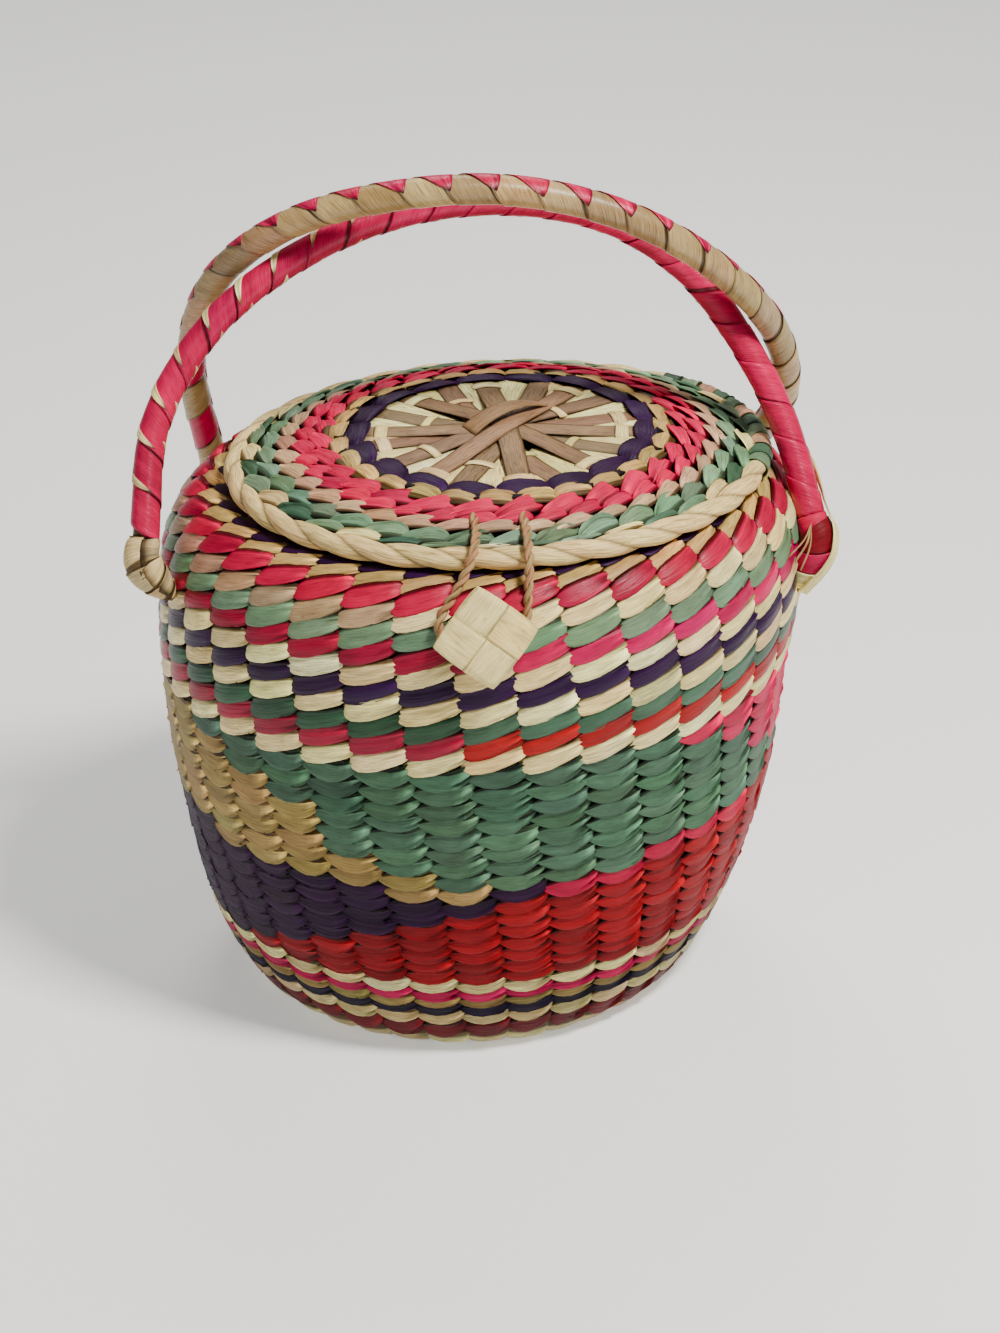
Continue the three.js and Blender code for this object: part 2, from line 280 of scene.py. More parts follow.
def add_piece(name, batches, finish, slot, *nodes):
    """A named piece of many strands that rides on the bag and stands for the given solids."""
    mesh = mesh_of_strands(name, batches)
    mesh.materials.append(finish)
    obj = bpy.data.objects.new(name, mesh)
    bpy.context.collection.objects.link(obj)
    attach(obj, "root")
    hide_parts(*nodes)
    mesh.calc_loop_triangles()
    strands = sum(len(batch["points"]) for batch in batches)
    print(name, strands, "strands,", len(mesh.loop_triangles), "triangles")
    return obj


print("maps", STRAND_MAP, "and", BAKE_MAP)


# %% [markdown]
# Palm leaf takes dye in a few clear colours, and the undyed leaf is cream to tan. Each dye has a grain
# amount: pale leaf shows its brown fibres most. Every strand is a little lighter or darker than the next,
# because no two leaves take dye alike, so a random tone is mixed into each one. The colours are kept on the
# points and not in a material for each, so that one finish serves a whole striped row.

# %% Dyes
DYES = {
    # red, green and blue as on a screen, and how much the fibres show
    "cream": (252, 233, 166, 0.8),
    "natural": (172, 142, 96, 0.8),
    "pale": (183, 157, 110, 0.8),
    "button": (255, 224, 152, 0.35),
    "tan": (190, 154, 122, 0.6),
    "sand": (206, 168, 134, 0.6),
    "buff": (216, 190, 140, 0.7),
    "brown": (142, 115, 86, 0.7),
    "straw": (200, 170, 104, 0.8),
    "yellow": (160, 137, 80, 0.6),
    "coral": (188, 16, 64, 0.3),
    "crimson": (162, 8, 52, 0.3),
    "scarlet": (168, 0, 4, 0.3),
    "red": (144, 0, 20, 0.35),
    "raspberry": (202, 6, 78, 0.35),
    "dark_red": (122, 6, 26, 0.35),
    "magenta": (198, 8, 86, 0.3),
    "cerise": (178, 2, 58, 0.3),
    "pink": (198, 10, 74, 0.35),
    "rose": (216, 10, 76, 0.35),
    "mint": (118, 160, 128, 0.45),
    "sage": (112, 145, 112, 0.45),
    "green": (70, 104, 82, 0.45),
    "dark_green": (46, 84, 60, 0.45),
    "purple": (42, 8, 56, 0.35),
    "plum": (39, 4, 46, 0.35),
    "indigo": (28, 14, 46, 0.35),
    "shade": (40, 28, 18, 0.3),
}
TONE_SPREAD, TINT_SPREAD = 0.12, 0.05
DARKEST, PALEST = 0.002, 0.95


def dyed(names, rng):
    """Linear colours with a grain amount for each name, each with a tone of its own."""
    rows = np.array([DYES[name] for name in names], float)
    srgb = rows[:, :3] / 255
    # the standard curve from colours on a screen to amounts of light
    linear = np.where(srgb <= 0.04045, srgb / 12.92, ((srgb + 0.055) / 1.055) ** 2.4)
    tone = 1 + TONE_SPREAD * rng.normal(0, 1, (len(rows), 1))
    tone = tone + TINT_SPREAD * rng.normal(0, 1, (len(rows), 3))
    return np.concatenate([np.clip(linear * tone, DARKEST, PALEST), rows[:, 3:]], 1)


print(len(DYES), "dyes")


# %% [markdown]
# The finish of split palm leaf is satin, with fine fibres along its length, a few deeper pleats where it was
# folded wet, and painted shade in the crevices. Noise on the strand map, drawn out along the leaf, gives
# fibres and pleats. A few small functions add the nodes, so that the finish itself reads as a recipe.

# %% Nodes of the leaf
# scales of the three noises, along and across the leaf
FIBRE_SCALE, PLEAT_SCALE, BLOTCH_SCALE = (1.2, 26, 1), (0.5, 6.5, 1), (0.9, 1.6, 1)


def add_node(tree, kind, **settings):
    """A new node of a material, with the given settings."""
    node = tree.nodes.new(kind)
    for key, value in settings.items():
        setattr(node, key, value)
    return node


def feed(tree, value, socket):
    """Links an output to a socket, or sets a plain number or colour on the socket itself."""
    if isinstance(value, bpy.types.NodeSocket):
        tree.links.new(value, socket)
    else:
        socket.default_value = value


def stretched_noise(tree, leaf_map, scale, detail):
    """Noise on the strand map with its own scale along and across the leaf."""
    mapping = add_node(tree, "ShaderNodeMapping")
    feed(tree, scale, mapping.inputs["Scale"])
    feed(tree, leaf_map.outputs["UV"], mapping.inputs["Vector"])
    noise = add_node(tree, "ShaderNodeTexNoise", noise_dimensions="2D")
    feed(tree, 1, noise.inputs["Scale"])
    feed(tree, detail, noise.inputs["Detail"])
    feed(tree, mapping.outputs["Vector"], noise.inputs["Vector"])
    return noise.outputs["Fac"]


def ramp(tree, value, stops):
    """Colours for a value, from stops of position and colour."""
    node = add_node(tree, "ShaderNodeValToRGB")
    elements = node.color_ramp.elements
    while len(elements) < len(stops):
        elements.new(0.5)
    for element, (position, colour) in zip(elements, stops):
        element.position = position
        element.color = colour
    feed(tree, value, node.inputs["Fac"])
    return node.outputs["Color"]


def multiply(tree, first, second, amount):
    """The first colour darkened by the second, as far as the amount says."""
    node = add_node(tree, "ShaderNodeMix", data_type="RGBA", blend_type="MULTIPLY")
    for socket, value in (("A", first), ("B", second), ("Factor", amount)):
        feed(tree, value, node.inputs[socket])
    return node.outputs["Result"]


print("fibres are drawn out", round(FIBRE_SCALE[1] / FIBRE_SCALE[0]), "times along the leaf")


# %% [markdown]
# Fibres, pleats and blotches darken the dye, and painted shade darkens the crevices and where a strand goes
# under its neighbours. The same fibres and pleats also drive the roughness and a small bump, so that light
# and colour agree. The finishes differ only in gloss, bump and pleat lines: the handles are smooth from many
# hands, and the cord is dull.

# %% Palm leaf finish
FIBRE_STOPS = ((0.3, (0.52, 0.4, 0.26, 1)), (0.6, (1.15, 1.12, 1.06, 1)))
PLEAT_STOPS = ((0.465, (1, 1, 1, 1)), (0.5, (0.45, 0.38, 0.3, 1)), (0.52, (1, 1, 1, 1)))
BLOTCH_STOPS = ((0.3, (0.82, 0.8, 0.78, 1)), (0.7, (1.1, 1.1, 1.1, 1)))
BLOTCH_AMOUNT = 0.8
# the colour that painted shade mixes in, in crevices and under neighbouring strands
PAINTED_SHADE_TINT = (0.12, 0.09, 0.07, 1)
SMOOTHER, ROUGHER = 0.1, 0.16  # how far the fibres move the roughness to either side
PLEAT_RELIEF = 2.2  # the pleats' relief as a multiple of the fibres'
BUMP_DEPTH = 0.25


def palm_finish(name, roughness=0.42, bump=0.4, shine=0.2, lines=0.55):
    """Satin palm leaf. shine is its specular level, and lines is how dark its pleats are."""
    material = bpy.data.materials.new(name)
    material.use_nodes = True
    tree = material.node_tree
    shader = tree.nodes["Principled BSDF"]
    shader.inputs["Specular IOR Level"].default_value = shine
    leaf_map = add_node(tree, "ShaderNodeUVMap", uv_map=STRAND_MAP)
    dye_and_painted_light = add_node(tree, "ShaderNodeAttribute", attribute_name="dye_and_painted_light")
    painted_shade = add_node(tree, "ShaderNodeAttribute", attribute_name="painted_shade")
    fibres = stretched_noise(tree, leaf_map, FIBRE_SCALE, 3)
    pleats = stretched_noise(tree, leaf_map, PLEAT_SCALE, 1)
    blotches = stretched_noise(tree, leaf_map, BLOTCH_SCALE, 2)

    fibre_colour = ramp(tree, fibres, FIBRE_STOPS)
    colour = multiply(tree, dye_and_painted_light.outputs["Color"], fibre_colour, dye_and_painted_light.outputs["Alpha"])
    colour = multiply(tree, colour, ramp(tree, pleats, PLEAT_STOPS), lines)
    colour = multiply(tree, colour, ramp(tree, blotches, BLOTCH_STOPS), BLOTCH_AMOUNT)
    # painted shade: darker where the strand is tucked under its neighbours
    colour = multiply(tree, colour, PAINTED_SHADE_TINT, painted_shade.outputs["Fac"])
    feed(tree, colour, shader.inputs["Base Color"])

    gloss = add_node(tree, "ShaderNodeMapRange")
    gloss.inputs["To Min"].default_value = roughness - SMOOTHER
    gloss.inputs["To Max"].default_value = roughness + ROUGHER
    feed(tree, fibres, gloss.inputs["Value"])
    feed(tree, gloss.outputs["Result"], shader.inputs["Roughness"])

    relief = add_node(tree, "ShaderNodeMath", operation="MULTIPLY_ADD")
    for socket, value in zip(relief.inputs, (pleats, PLEAT_RELIEF, fibres)):
        feed(tree, value, socket)
    dent = add_node(tree, "ShaderNodeBump")
    dent.inputs["Strength"].default_value = bump
    dent.inputs["Distance"].default_value = BUMP_DEPTH * MM
    feed(tree, relief.outputs["Value"], dent.inputs["Height"])
    feed(tree, dent.outputs["Normal"], shader.inputs["Normal"])
    return material


wall_palm = palm_finish("wall_palm", roughness=0.32)
field_palm = palm_finish("field_palm", shine=0.12)
lid_palm = palm_finish("lid_palm", bump=0.5, lines=0.9)
rope_palm = palm_finish("rope_palm", roughness=0.45, bump=0.5)
handle_palm = palm_finish("handle_palm", roughness=0.28, bump=0.25, shine=0.4)
cord_palm = palm_finish("cord_palm", roughness=0.6, bump=0.5)
plain_palm = palm_finish("plain_palm", roughness=0.5)
print(len(bpy.data.materials), "materials")


# %% [markdown]
# The cord that fastens the lid is a thin two-ply twist: it leaves the lid, crosses the rope, runs round
# behind the button and comes back. Its route repeats the solid's points. Two tubes that wind round that
# line, half a turn apart, make the twist, because one smooth tube with a bump would show a straight outline.

# %% Twisted cord of the fastening
LOOP_ROUTE = [
    (-13, -66, 217.6), (-13.5, -75, 216.8), (-15.5, -84.5, 215.9), (-18.5, -91.2, 211.5), (-24, -95.5, 204),
    (-31, -99.5, 194), (-28, -103, 184), (-16, -104.3, 178.5), (-3.5, -103.3, 184), (0, -100, 194),
    (1.5, -95.5, 204), (2.5, -91.2, 211.5), (3.2, -84.5, 215.9), (4, -75, 216.8), (4, -66, 217.6),
]
LOOP_STEPS = 160
LOOP_TURN = 10  # length of one whole turn of the twist
PLY_OFFSET, PLY_RADIUS, PLY_SIDES = 0.85, 0.98, 8
# painted shade in the groove where the plies meet
GROOVE_PAINTED_SHADE, GROOVE_SHARE = 0.9, 0.12  # how dark the groove is, and how wide as a share of the ply


def tube_points(line, radius, sides):
    """Rings of points round a line, with one radius or one for each step."""
    normals, across = carried_frames(line)
    angle = 2 * np.pi * np.arange(sides)[None, :, None] / sides
    radius = np.broadcast_to(radius, len(line))[:, None, None]
    ring = normals[:, None] * np.cos(angle) + across[:, None] * np.sin(angle)
    return line[:, None] + radius * ring


def twist(line, offset, turn_length, radius, names, rng, sides=PLY_SIDES, wobble=0.0):
    """A ply for each name that winds round a line, as a batch of strands."""
    normals, across = carried_frames(line)
    along = lengths_along(line)
    made = []
    for ply in range(len(names)):
        phase = 2 * np.pi * (along / turn_length + ply / len(names))[:, None]
        reach = offset * (1 + wobble * rng.normal(0, 1, len(line)))[:, None]
        wound = line + (normals * np.cos(phase) + across * np.sin(phase)) * reach
        made.append(tube_points(wound, radius, sides))
    made = np.stack(made)
    groove = math.sqrt(radius**2 - offset**2)  # how far from the line the plies meet
    depth = np.linalg.norm(made - line[None, :, None], axis=-1) - groove
    # painted shade: darker in the groove between the plies
    painted_shade = GROOVE_PAINTED_SHADE * np.clip(1 - depth / (GROOVE_SHARE * radius), 0, 1)
    span = np.linspace(0, 2 * math.pi * radius, sides + 1)
    return strand_batch(made, dyed(names, rng), painted_shade, along[None, :, None], span[None, None, :], rng)


rng = np.random.default_rng(11)
loop_line = curve_through(LOOP_ROUTE, LOOP_STEPS)
loop = add_piece(
    "closure_loop_cord",
    [twist(loop_line, PLY_OFFSET, LOOP_TURN, PLY_RADIUS, ["natural", "natural"], rng)],
    cord_palm, "cord_palm", "closure_loop",
)


# %% [markdown]
# The bag stands on a plain pale floor under soft light: one warm lamp above and to the right, a weak one
# from the left so that the dark dyes keep their colour, one behind for the far edges, and an even pale sky.
# The floor glows a little by itself, which keeps it pale without brighter lamps on the bag.

# %% Floor and light
FLOOR_HALF = 20
FLOOR_CORNERS = ((-1, -1), (1, -1), (1, 1), (-1, 1))
FLOOR_FINISH = {
    "Base Color": (0.94, 0.94, 0.93, 1),
    "Roughness": 0.9,
    "Emission Color": (1, 1, 1, 1),
    "Emission Strength": 0.42,
}
LAMPS = [
    # name, place in metres, size in metres, watts, colour
    ("key", (0.45, -0.5, 1.3), 0.25, 26, (1, 0.965, 0.91)),
    ("fill", (-1.3, -0.9, 0.9), 1.2, 2, (0.95, 0.97, 1)),
    ("rim", (0.1, 1.0, 1.3), 0.6, 8, (1, 0.98, 0.95)),
]
SKY_COLOUR, SKY_STRENGTH = (1, 0.99, 0.97, 1), 0.13

floor_mesh = bpy.data.meshes.new("floor")
floor_mesh.from_pydata([(x * FLOOR_HALF, y * FLOOR_HALF, 0) for x, y in FLOOR_CORNERS], [], [(0, 1, 2, 3)])
floor = bpy.data.objects.new("floor", floor_mesh)
bpy.context.collection.objects.link(floor)
paper = bpy.data.materials.new("floor_paper")
paper.use_nodes = True
for socket_name, value in FLOOR_FINISH.items():
    paper.node_tree.nodes["Principled BSDF"].inputs[socket_name].default_value = value
floor_mesh.materials.append(paper)

for lamp_name, place, size, watts, lamp_colour in LAMPS:
    lamp_data = bpy.data.lights.new(lamp_name, "AREA")
    lamp_data.size = size
    lamp_data.energy = watts
    lamp_data.color = lamp_colour
    lamp = bpy.data.objects.new(lamp_name, lamp_data)
    lamp.matrix_world = looking(place, to_frame(CAMERA_TARGET))
    bpy.context.collection.objects.link(lamp)

world = bpy.data.worlds.new("studio")
bpy.context.scene.world = world
world.use_nodes = True
world.node_tree.nodes["Background"].inputs["Color"].default_value = SKY_COLOUR
world.node_tree.nodes["Background"].inputs["Strength"].default_value = SKY_STRENGTH
print(len(LAMPS), "lamps")


# %% [markdown]
# A twined stitch is one short stretch of leaf that comes out low between two stakes, slants up over one of
# them and dives in again, crumpled, under the start of the next. Its lower edge stands proud and covers the
# row below. Tables give its two edges and its height at six places along it, so that bricks become scales by
# changing a table and not the code.

# %% Tables of the stitches
PLACES = [-1, -0.85, -0.5, 0.3, 0.8, 1]  # where the tables are read, from the left end to the right
# lower and upper are the edges as shares of the row's pitch. In mm, crest is how far the strand stands out,
# crown its bulge, tilt how proud the lower edge is, pleat the folds of its face, crumple those of its right
# end, and slope how far it climbs. shade is where painted shade starts on the face under the next row, and
# glint is how much paler the gathered end is painted, as a painted highlight.
BRICK = {
    "lower": [-0.5, -0.78, -0.84, -0.42, 0.04, 0.4],
    "upper": [-0.24, 0.12, 0.42, 0.78, 0.88, 0.6],
    "crest": [0.1, 0.9, 1.4, 1.3, 0.4, -1.2],
    "crown": 0.6, "tilt": 0.7, "pleat": 0.1, "crumple": 0.25, "slope": 0, "shade": 0.76, "glint": 0.3,
}
SCALE = {
    "lower": [-0.05, -0.28, -0.68, -0.74, -0.15, 0.18],
    "upper": [-0.02, 0.14, 0.58, 0.57, 0.8, 0.7],
    "crest": [0.9, 1.1, 1.2, 1.1, 0.7, -0.8],
    "crown": 0.15, "tilt": 0.75, "pleat": 0.06, "crumple": 0.5, "slope": 0, "shade": 0.71, "glint": 2.2,
}
EDGE = {
    "lower": [-0.4, -0.75, -0.9, -0.85, -0.6, -0.2],
    "upper": [-0.1, 0.5, 0.7, 0.75, 0.7, 0.5],
    "crest": [-0.9, 0.3, 1.0, 1.0, 0.3, -1.4],
    "crown": 0.8, "tilt": 0.2, "pleat": 0.06, "crumple": 0.2, "slope": 0, "shade": 0.6, "glint": 0,
}
WALL_STYLES = {
    "ledge": dict(BRICK, crest=[-0.4, -0.1, 0.0, 0.0, -0.6, -1.5]),
    "brick": BRICK,
    "scale": SCALE,
    "tight": dict(SCALE, crest=[0.3, 0.9, 1.3, 1.25, 0.4, -1.2], tilt=1.1, pleat=0.12, glint=0.7),
    "dull": dict(SCALE, pleat=0.12, crumple=0.22, glint=0.4),
    "edge": EDGE,
}
print(len(WALL_STYLES), "kinds of stitch on the wall")


# %% [markdown]
# A strand of split leaf is thin and a little rounded. Its points stand close together where it bends most:
# at both ends, where it dives in, and at the two edges of its face. Two more points close it behind. Even
# steps would need many more points for the same sharp ends.

# %% Section of a strand
ALONG = np.array([-1, -0.95, -0.85, -0.68, -0.42, -0.1, 0.22, 0.48, 0.66, 0.8, 0.91, 1])
FACE = np.array([0, 0.06, 0.2, 0.4, 0.6, 0.71, 0.74, 0.85, 1])  # across the face, from the proud edge
RING = np.concatenate([FACE, [0.72, 0.28]])
BEHIND = np.arange(len(RING)) >= len(FACE)
STRAND_THICKNESS = 0.6
print("a stitch has", len(ALONG) * len(RING), "points")


# %% [markdown]
# One function makes any number of stitches from a table and a surface to lie on. A surface is a function of
# an angle, a height and a distance outwards, so the same stitches fit the wall, the lid and the handles.
# Small random changes keep the rows from looking stamped. Painted shade darkens each stitch where it goes
# under its neighbours, its folds get painted light and shade, and its gathered end a painted highlight.

# %% Shape of a stitch
EDGE_SPREAD, CREST_SPREAD, REACH_SPREAD = 0.07, 0.09, 0.02  # random shares of edges, height and length
SHIFT_SPREAD, LEAN_SPREAD = 0.22, 0.2  # random mm across the row, of the whole stitch and of its ends
GATHERED = (0.2, 0.7)  # where along the stitch the leaf is drawn together
# where the painted highlight on the gathered end starts and ends, along it and across it
GLINT_STARTS, GLINT_ENDS, GLINT_ACROSS = (0.4, 0.68), (0.85, 1), (0.2, 0.5)
# painted light and shade: raised folds are painted paler and sunk ones darker
FOLD_PAINTED_LIGHT = 0.3  # how much the raised folds are paler, and the sunk ones darker
FLAT_FOLDS, GLINT_FOLDS = 0.2, 0.6  # how much the folds show where the leaf is flat, and where it glints
DARKEST_FOLD, PALEST_FOLD = 0.35, 3.2
# painted shade where the left end starts under the last stitch and the right end dives under the next
STARTS, START_PAINTED_SHADE = (0.9, 1), 0.2
DIVES, DIVE_PAINTED_SHADE = (0.78, 0.92), 0.95
SHADE_EDGE = 0.03


def fade(x, low, high):
    """0 below low, 1 above high and smooth between them."""
    t = np.clip((x - low) / (high - low), 0, 1)
    return t * t * (3 - 2 * t)


def stitches(surface, angle, arc, half_angle, pitch, half_length, names, style, rng,
             mirrored=False, painted_shade_factor=1.0, steps=ALONG):
    """A batch of stitches at the given angles and heights of a surface, darkened as painted shade by a
    factor under 1.
    """
    count = len(angle)

    def column(values):
        return np.broadcast_to(np.asarray(values, float), count)[:, None, None]

    def varied(spread):
        return column(1 + spread * rng.normal(0, 1, count))

    def table(key):
        return smooth_table(steps, PLACES, style[key])[None, :, None]

    s = steps[None, :, None]
    w = RING[None, None, :]
    lower = table("lower") * varied(EDGE_SPREAD)
    upper = table("upper") * varied(EDGE_SPREAD)
    crest = table("crest") * varied(CREST_SPREAD)
    height = column(arc) + column(style["slope"]) / 2 * s + column(pitch) * (lower + (upper - lower) * w)
    height = height + SHIFT_SPREAD * (varied(1) - 1) + LEAN_SPREAD * (varied(1) - 1) * s
    ridges = rng.normal(0, 1, (count, 1, len(RING)))
    gathered = fade(s, *GATHERED)
    folds = (style["pleat"] + style["crumple"] * gathered) * (1 - s**10) * ridges
    bulge = style["crown"] * (1 - (2 * w - 1) ** 2) * (1 - s**2)
    face = crest + bulge + style["tilt"] * (0.5 - w) + folds
    out = np.where(BEHIND, crest - STRAND_THICKNESS, face)
    # painted highlight on the gathered end, and painted light and shade on the raised and sunk folds
    painted_glint = style["glint"] * fade(s, *GLINT_STARTS) * (1 - fade(s, *GLINT_ENDS)) * fade(w, *GLINT_ACROSS)
    tone = 1 + FOLD_PAINTED_LIGHT * ridges * (FLAT_FOLDS + gathered) + painted_glint * (1 + GLINT_FOLDS * ridges)
    tone = painted_shade_factor * np.clip(tone, DARKEST_FOLD, PALEST_FOLD)
    turn = column(angle) + column(half_angle) * s * varied(REACH_SPREAD) * (-1 if mirrored else 1)
    points = surface(np.broadcast_to(turn, out.shape), height, out)
    # painted shade at the ends and where the face goes under the next row
    ends_painted_shade = np.maximum(START_PAINTED_SHADE * fade(-s, *STARTS), DIVE_PAINTED_SHADE * fade(s, *DIVES))
    row_painted_shade = DIVE_PAINTED_SHADE * fade(w, style["shade"], style["shade"] + SHADE_EDGE)
    painted_shade = np.where(BEHIND, 1, np.maximum(ends_painted_shade, row_painted_shade))
    around = np.concatenate([RING, [0]])[None, None, :] * 2 * column(pitch)
    return strand_batch(points, dyed(names, rng), painted_shade, s * column(half_length), around, rng, tone)


print("a brick stands out", max(BRICK["crest"]) + BRICK["crown"], "mm at its middle")


# %% [markdown]
# The wall is an oval that widens from the base, is fullest two thirds of the way up and rolls over a
# shoulder to a flat ledge under the lid. Sections repeat the solid's, measured along the front profile
# instead of by height, because the ledge is level and height would stand still there.

# %% Surface of the basket
BODY_SECTIONS = [
    # height, half width, half depth, shift of the oval along X
    (0, 78, 74, -8.5), (3.5, 84, 79.5, -8.5), (9, 89.5, 83, -8), (20, 96, 87, -7.5), (38, 103, 91.5, -6.5),
    (71, 111.5, 96.5, -4.5), (106, 116.5, 100.5, -4), (138, 119, 102.5, -2.5), (165, 120, 103.5, 0),
    (183, 118, 101, 1), (195, 112.5, 96.5, 2), (201.5, 105, 90, 3), (203.8, 95, 80, 4), (203.2, 88, 73, 4),
]
FLOOR_CLEARANCE = 0.1
HALF_STEP = 0.5  # mm to either side, over which a slope is measured
body_columns = np.array(BODY_SECTIONS, float).T
body_arc = lengths_along(body_columns[[2, 0]].T)


def body_at(arc):
    """Height, half width, half depth and shift of the wall at a length up its profile."""
    return [smooth_table(arc, body_arc, column) for column in body_columns]


def body_surface(angle, arc, out):
    """Points of the wall at an angle and a length up its profile, moved outwards by out."""
    z, width, depth, shift = body_at(arc)
    below, above = body_at(arc - HALF_STEP), body_at(arc + HALF_STEP)
    slant = unit(np.stack([above[0] - below[0], below[2] - above[2]], -1))
    flat = unit(np.stack([np.cos(angle) / width, np.sin(angle) / depth], -1))
    x = shift + width * np.cos(angle) + out * slant[..., 0] * flat[..., 0]
    y = depth * np.sin(angle) + out * slant[..., 0] * flat[..., 1]
    return np.stack([x, y, np.maximum(z + out * slant[..., 1], FLOOR_CLEARANCE)], -1)


print("profile", round(body_arc[-1], 1), "mm from base to mouth")


# %% [markdown]
# The stripes are charted as a weaver would: a dye for each of the rows under the lid and above the
# base, and between them a field where pink, green, yellow, purple and red step from column to column in
# slanting bands. For each column the chart says how many rows of the field each dye takes, from the top
# down.

# %% Chart of the stripes
STAKES = 36
TOP_ROWS = [
    # dye on the left, dye on the right, first column of the right one
    ("cream", "cream", 0), ("purple", "purple", 0), ("straw", "straw", 0), ("coral", "coral", 0),
    ("tan", "cream", -2), ("sage", "sage", 0), ("crimson", "magenta", 0), ("cream", "cream", 0),
    ("purple", "purple", 0), ("cream", "cream", 0), ("dark_green", "green", -1), ("crimson", "scarlet", -1),
    ("cream", "cream", 0),
]
BOTTOM_ROWS = ["cream", "magenta", "yellow", "indigo", "cream", "dark_red", "cream"]
FIELD_ROWS = 16
FIELD_DYES = ["pink", "green", "yellow", "plum", "red"]
FIELD_CHART = [
    # column from the front, then rows of pink, green, yellow, purple and red
    (-16, 0, 0, 7, 9, 0), (-8, 0, 0, 7, 9, 0), (-7, 0, 0.6, 7, 7, 1.4), (-6, 0, 2, 5.5, 6, 2.5),
    (-5, 0, 3, 4.5, 5.3, 3.2), (-4, 0, 5.5, 2.5, 3.6, 4.4), (-3, 0, 7, 1.5, 2.4, 5.1),
    (-2, 0, 7.6, 1, 1.8, 5.6), (-1, 0, 8, 0, 0.7, 7.3), (0, 0, 8, 0, 0, 8), (2, 0, 7.3, 0, 0, 8.7),
    (3, 1, 6, 0, 0, 9), (4, 2, 4.8, 0, 0, 9.2), (5, 4, 2.5, 0, 0, 9.5), (6, 5, 1.3, 0, 0, 9.7),
    (8, 6.5, 0, 0, 0, 9.5), (14, 6.5, 0, 0, 0, 9.5), (20, 0, 0, 7, 9, 0),
]
CERISE_COLUMNS = range(0, 6)  # where the first red row is cerise instead
LAST_TOP = len(TOP_ROWS)
LAST_FIELD = LAST_TOP + FIELD_ROWS
LAST_ROW = LAST_FIELD + len(BOTTOM_ROWS)
chart_columns, *chart_shares = np.array(FIELD_CHART, float).T


def field_dye(column, row):
    """Dye of the field at a column from the front and a row from the top of the field."""
    ends = np.cumsum([np.interp(column, chart_columns, shares) for shares in chart_shares])
    name = FIELD_DYES[int(np.searchsorted(ends, min(row + 0.5, ends[-1] - 0.01)))]
    first_red = name == "red" and row - 0.5 < ends[-2]
    return "cerise" if first_red and column in CERISE_COLUMNS else name


def wall_dye(column, row):
    """Dye of a stitch, with columns counted from the front and rows from 1 at the mouth."""
    column = (column + STAKES // 2) % STAKES - STAKES // 2
    if row <= LAST_TOP:
        left, right, change = TOP_ROWS[row - 1]
        return right if column >= change else left
    if row <= LAST_FIELD:
        charted = column if column >= chart_columns[0] else column + STAKES
        return field_dye(charted, row - LAST_TOP - 1)
    return BOTTOM_ROWS[row - LAST_FIELD - 1]


print(LAST_ROW, "rows of", STAKES, "stitches")


# %% [markdown]
# The rows are tall under the lid, shorter in the field and shortest at the base. Stitches keep to the
# stakes, which lean towards the right on the front as they go down. Under the lid they lie low, then they
# are bricks, and in the field they are scales. Three pieces hold the rows, so that none grows heavy.

# %% Twined rows of the wall
ROW_KNOTS, ROW_ARCS = [1, 4, 9, 13, 30, 35, 36], [226.4, 206.2, 172.5, 144.9, 41.2, 17.5, 9.5]
LEDGE_ROWS = 3
FRONT_STAKE = 27
STAKE_LEAN = 1.7  # stakes that the columns move round from the mouth to the base
STITCH_OVERLAP = 1.2
# painted shade: the lowest rows are darker, fading out between the two heights in mm
BASE_PAINTED_SHADE, BASE_SHADE_HEIGHTS = 0.55, (5, 70)  # how much darker the lowest rows are painted, as painted shade towards the bottom


def wall_style(row, dye_name):
    """Name of the table for a stitch."""
    if row <= LEDGE_ROWS:
        return "ledge"
    if row <= LAST_TOP:
        return "brick"
    if row == LAST_ROW:
        return "edge"
    if dye_name == "plum":
        return "dull"
    return "tight" if dye_name in ("red", "cerise") or row > LAST_FIELD else "scale"


def row_arc(row):
    """Length up the profile to the middle of a row."""
    return float(smooth_table(row, ROW_KNOTS, ROW_ARCS))


def wall_row(row, rng):
    """One ring of stitches round the wall, as a batch for each kind of stitch in it."""
    pitch = abs(row_arc(row + 0.5) - row_arc(row - 0.5))
    z, width, _, _ = (float(value) for value in body_at(row_arc(row)))
    half_angle = np.pi / STAKES * STITCH_OVERLAP
    # painted shade: the stitches are darker towards the bottom of the wall
    painted_shade_factor = 1 - BASE_PAINTED_SHADE * (1 - fade(z, *BASE_SHADE_HEIGHTS))
    groups = {}
    for stake in range(STAKES):
        dye_name = wall_dye(stake - FRONT_STAKE, row)
        angle = 2 * np.pi * (stake + STAKE_LEAN * (1 - z / body_columns[0].max())) / STAKES
        groups.setdefault(wall_style(row, dye_name), []).append((angle, dye_name))
    batches = []
    for style, group in groups.items():
        angles, names = zip(*group)
        batches.append(stitches(
            body_surface, angles, row_arc(row), half_angle, pitch, half_angle * width, names,
            WALL_STYLES[style], rng, painted_shade_factor=painted_shade_factor))
    return batches


rng = np.random.default_rng(21)
for piece_name, first, last, finish in (
    ("wall_top_rows", 1, LAST_TOP, wall_palm),
    ("wall_field_rows", LAST_TOP + 1, LAST_FIELD, field_palm),
    ("wall_bottom_rows", LAST_FIELD + 1, LAST_ROW, field_palm),
):
    batches = [batch for row in range(first, last + 1) for batch in wall_row(row, rng)]
    add_piece(piece_name, batches, finish, "body_palm", "body_wall")


# %% [markdown]
# Behind the stitches is the inside of the weave: stakes and crossing strands that show only as shadow in
# the small holes. One closed skin a little inside the stitches stands for it, with the basket's flat bottom,
# dyed dark as painted shade. It goes up the outside and down the inside as a single strand with many sides.

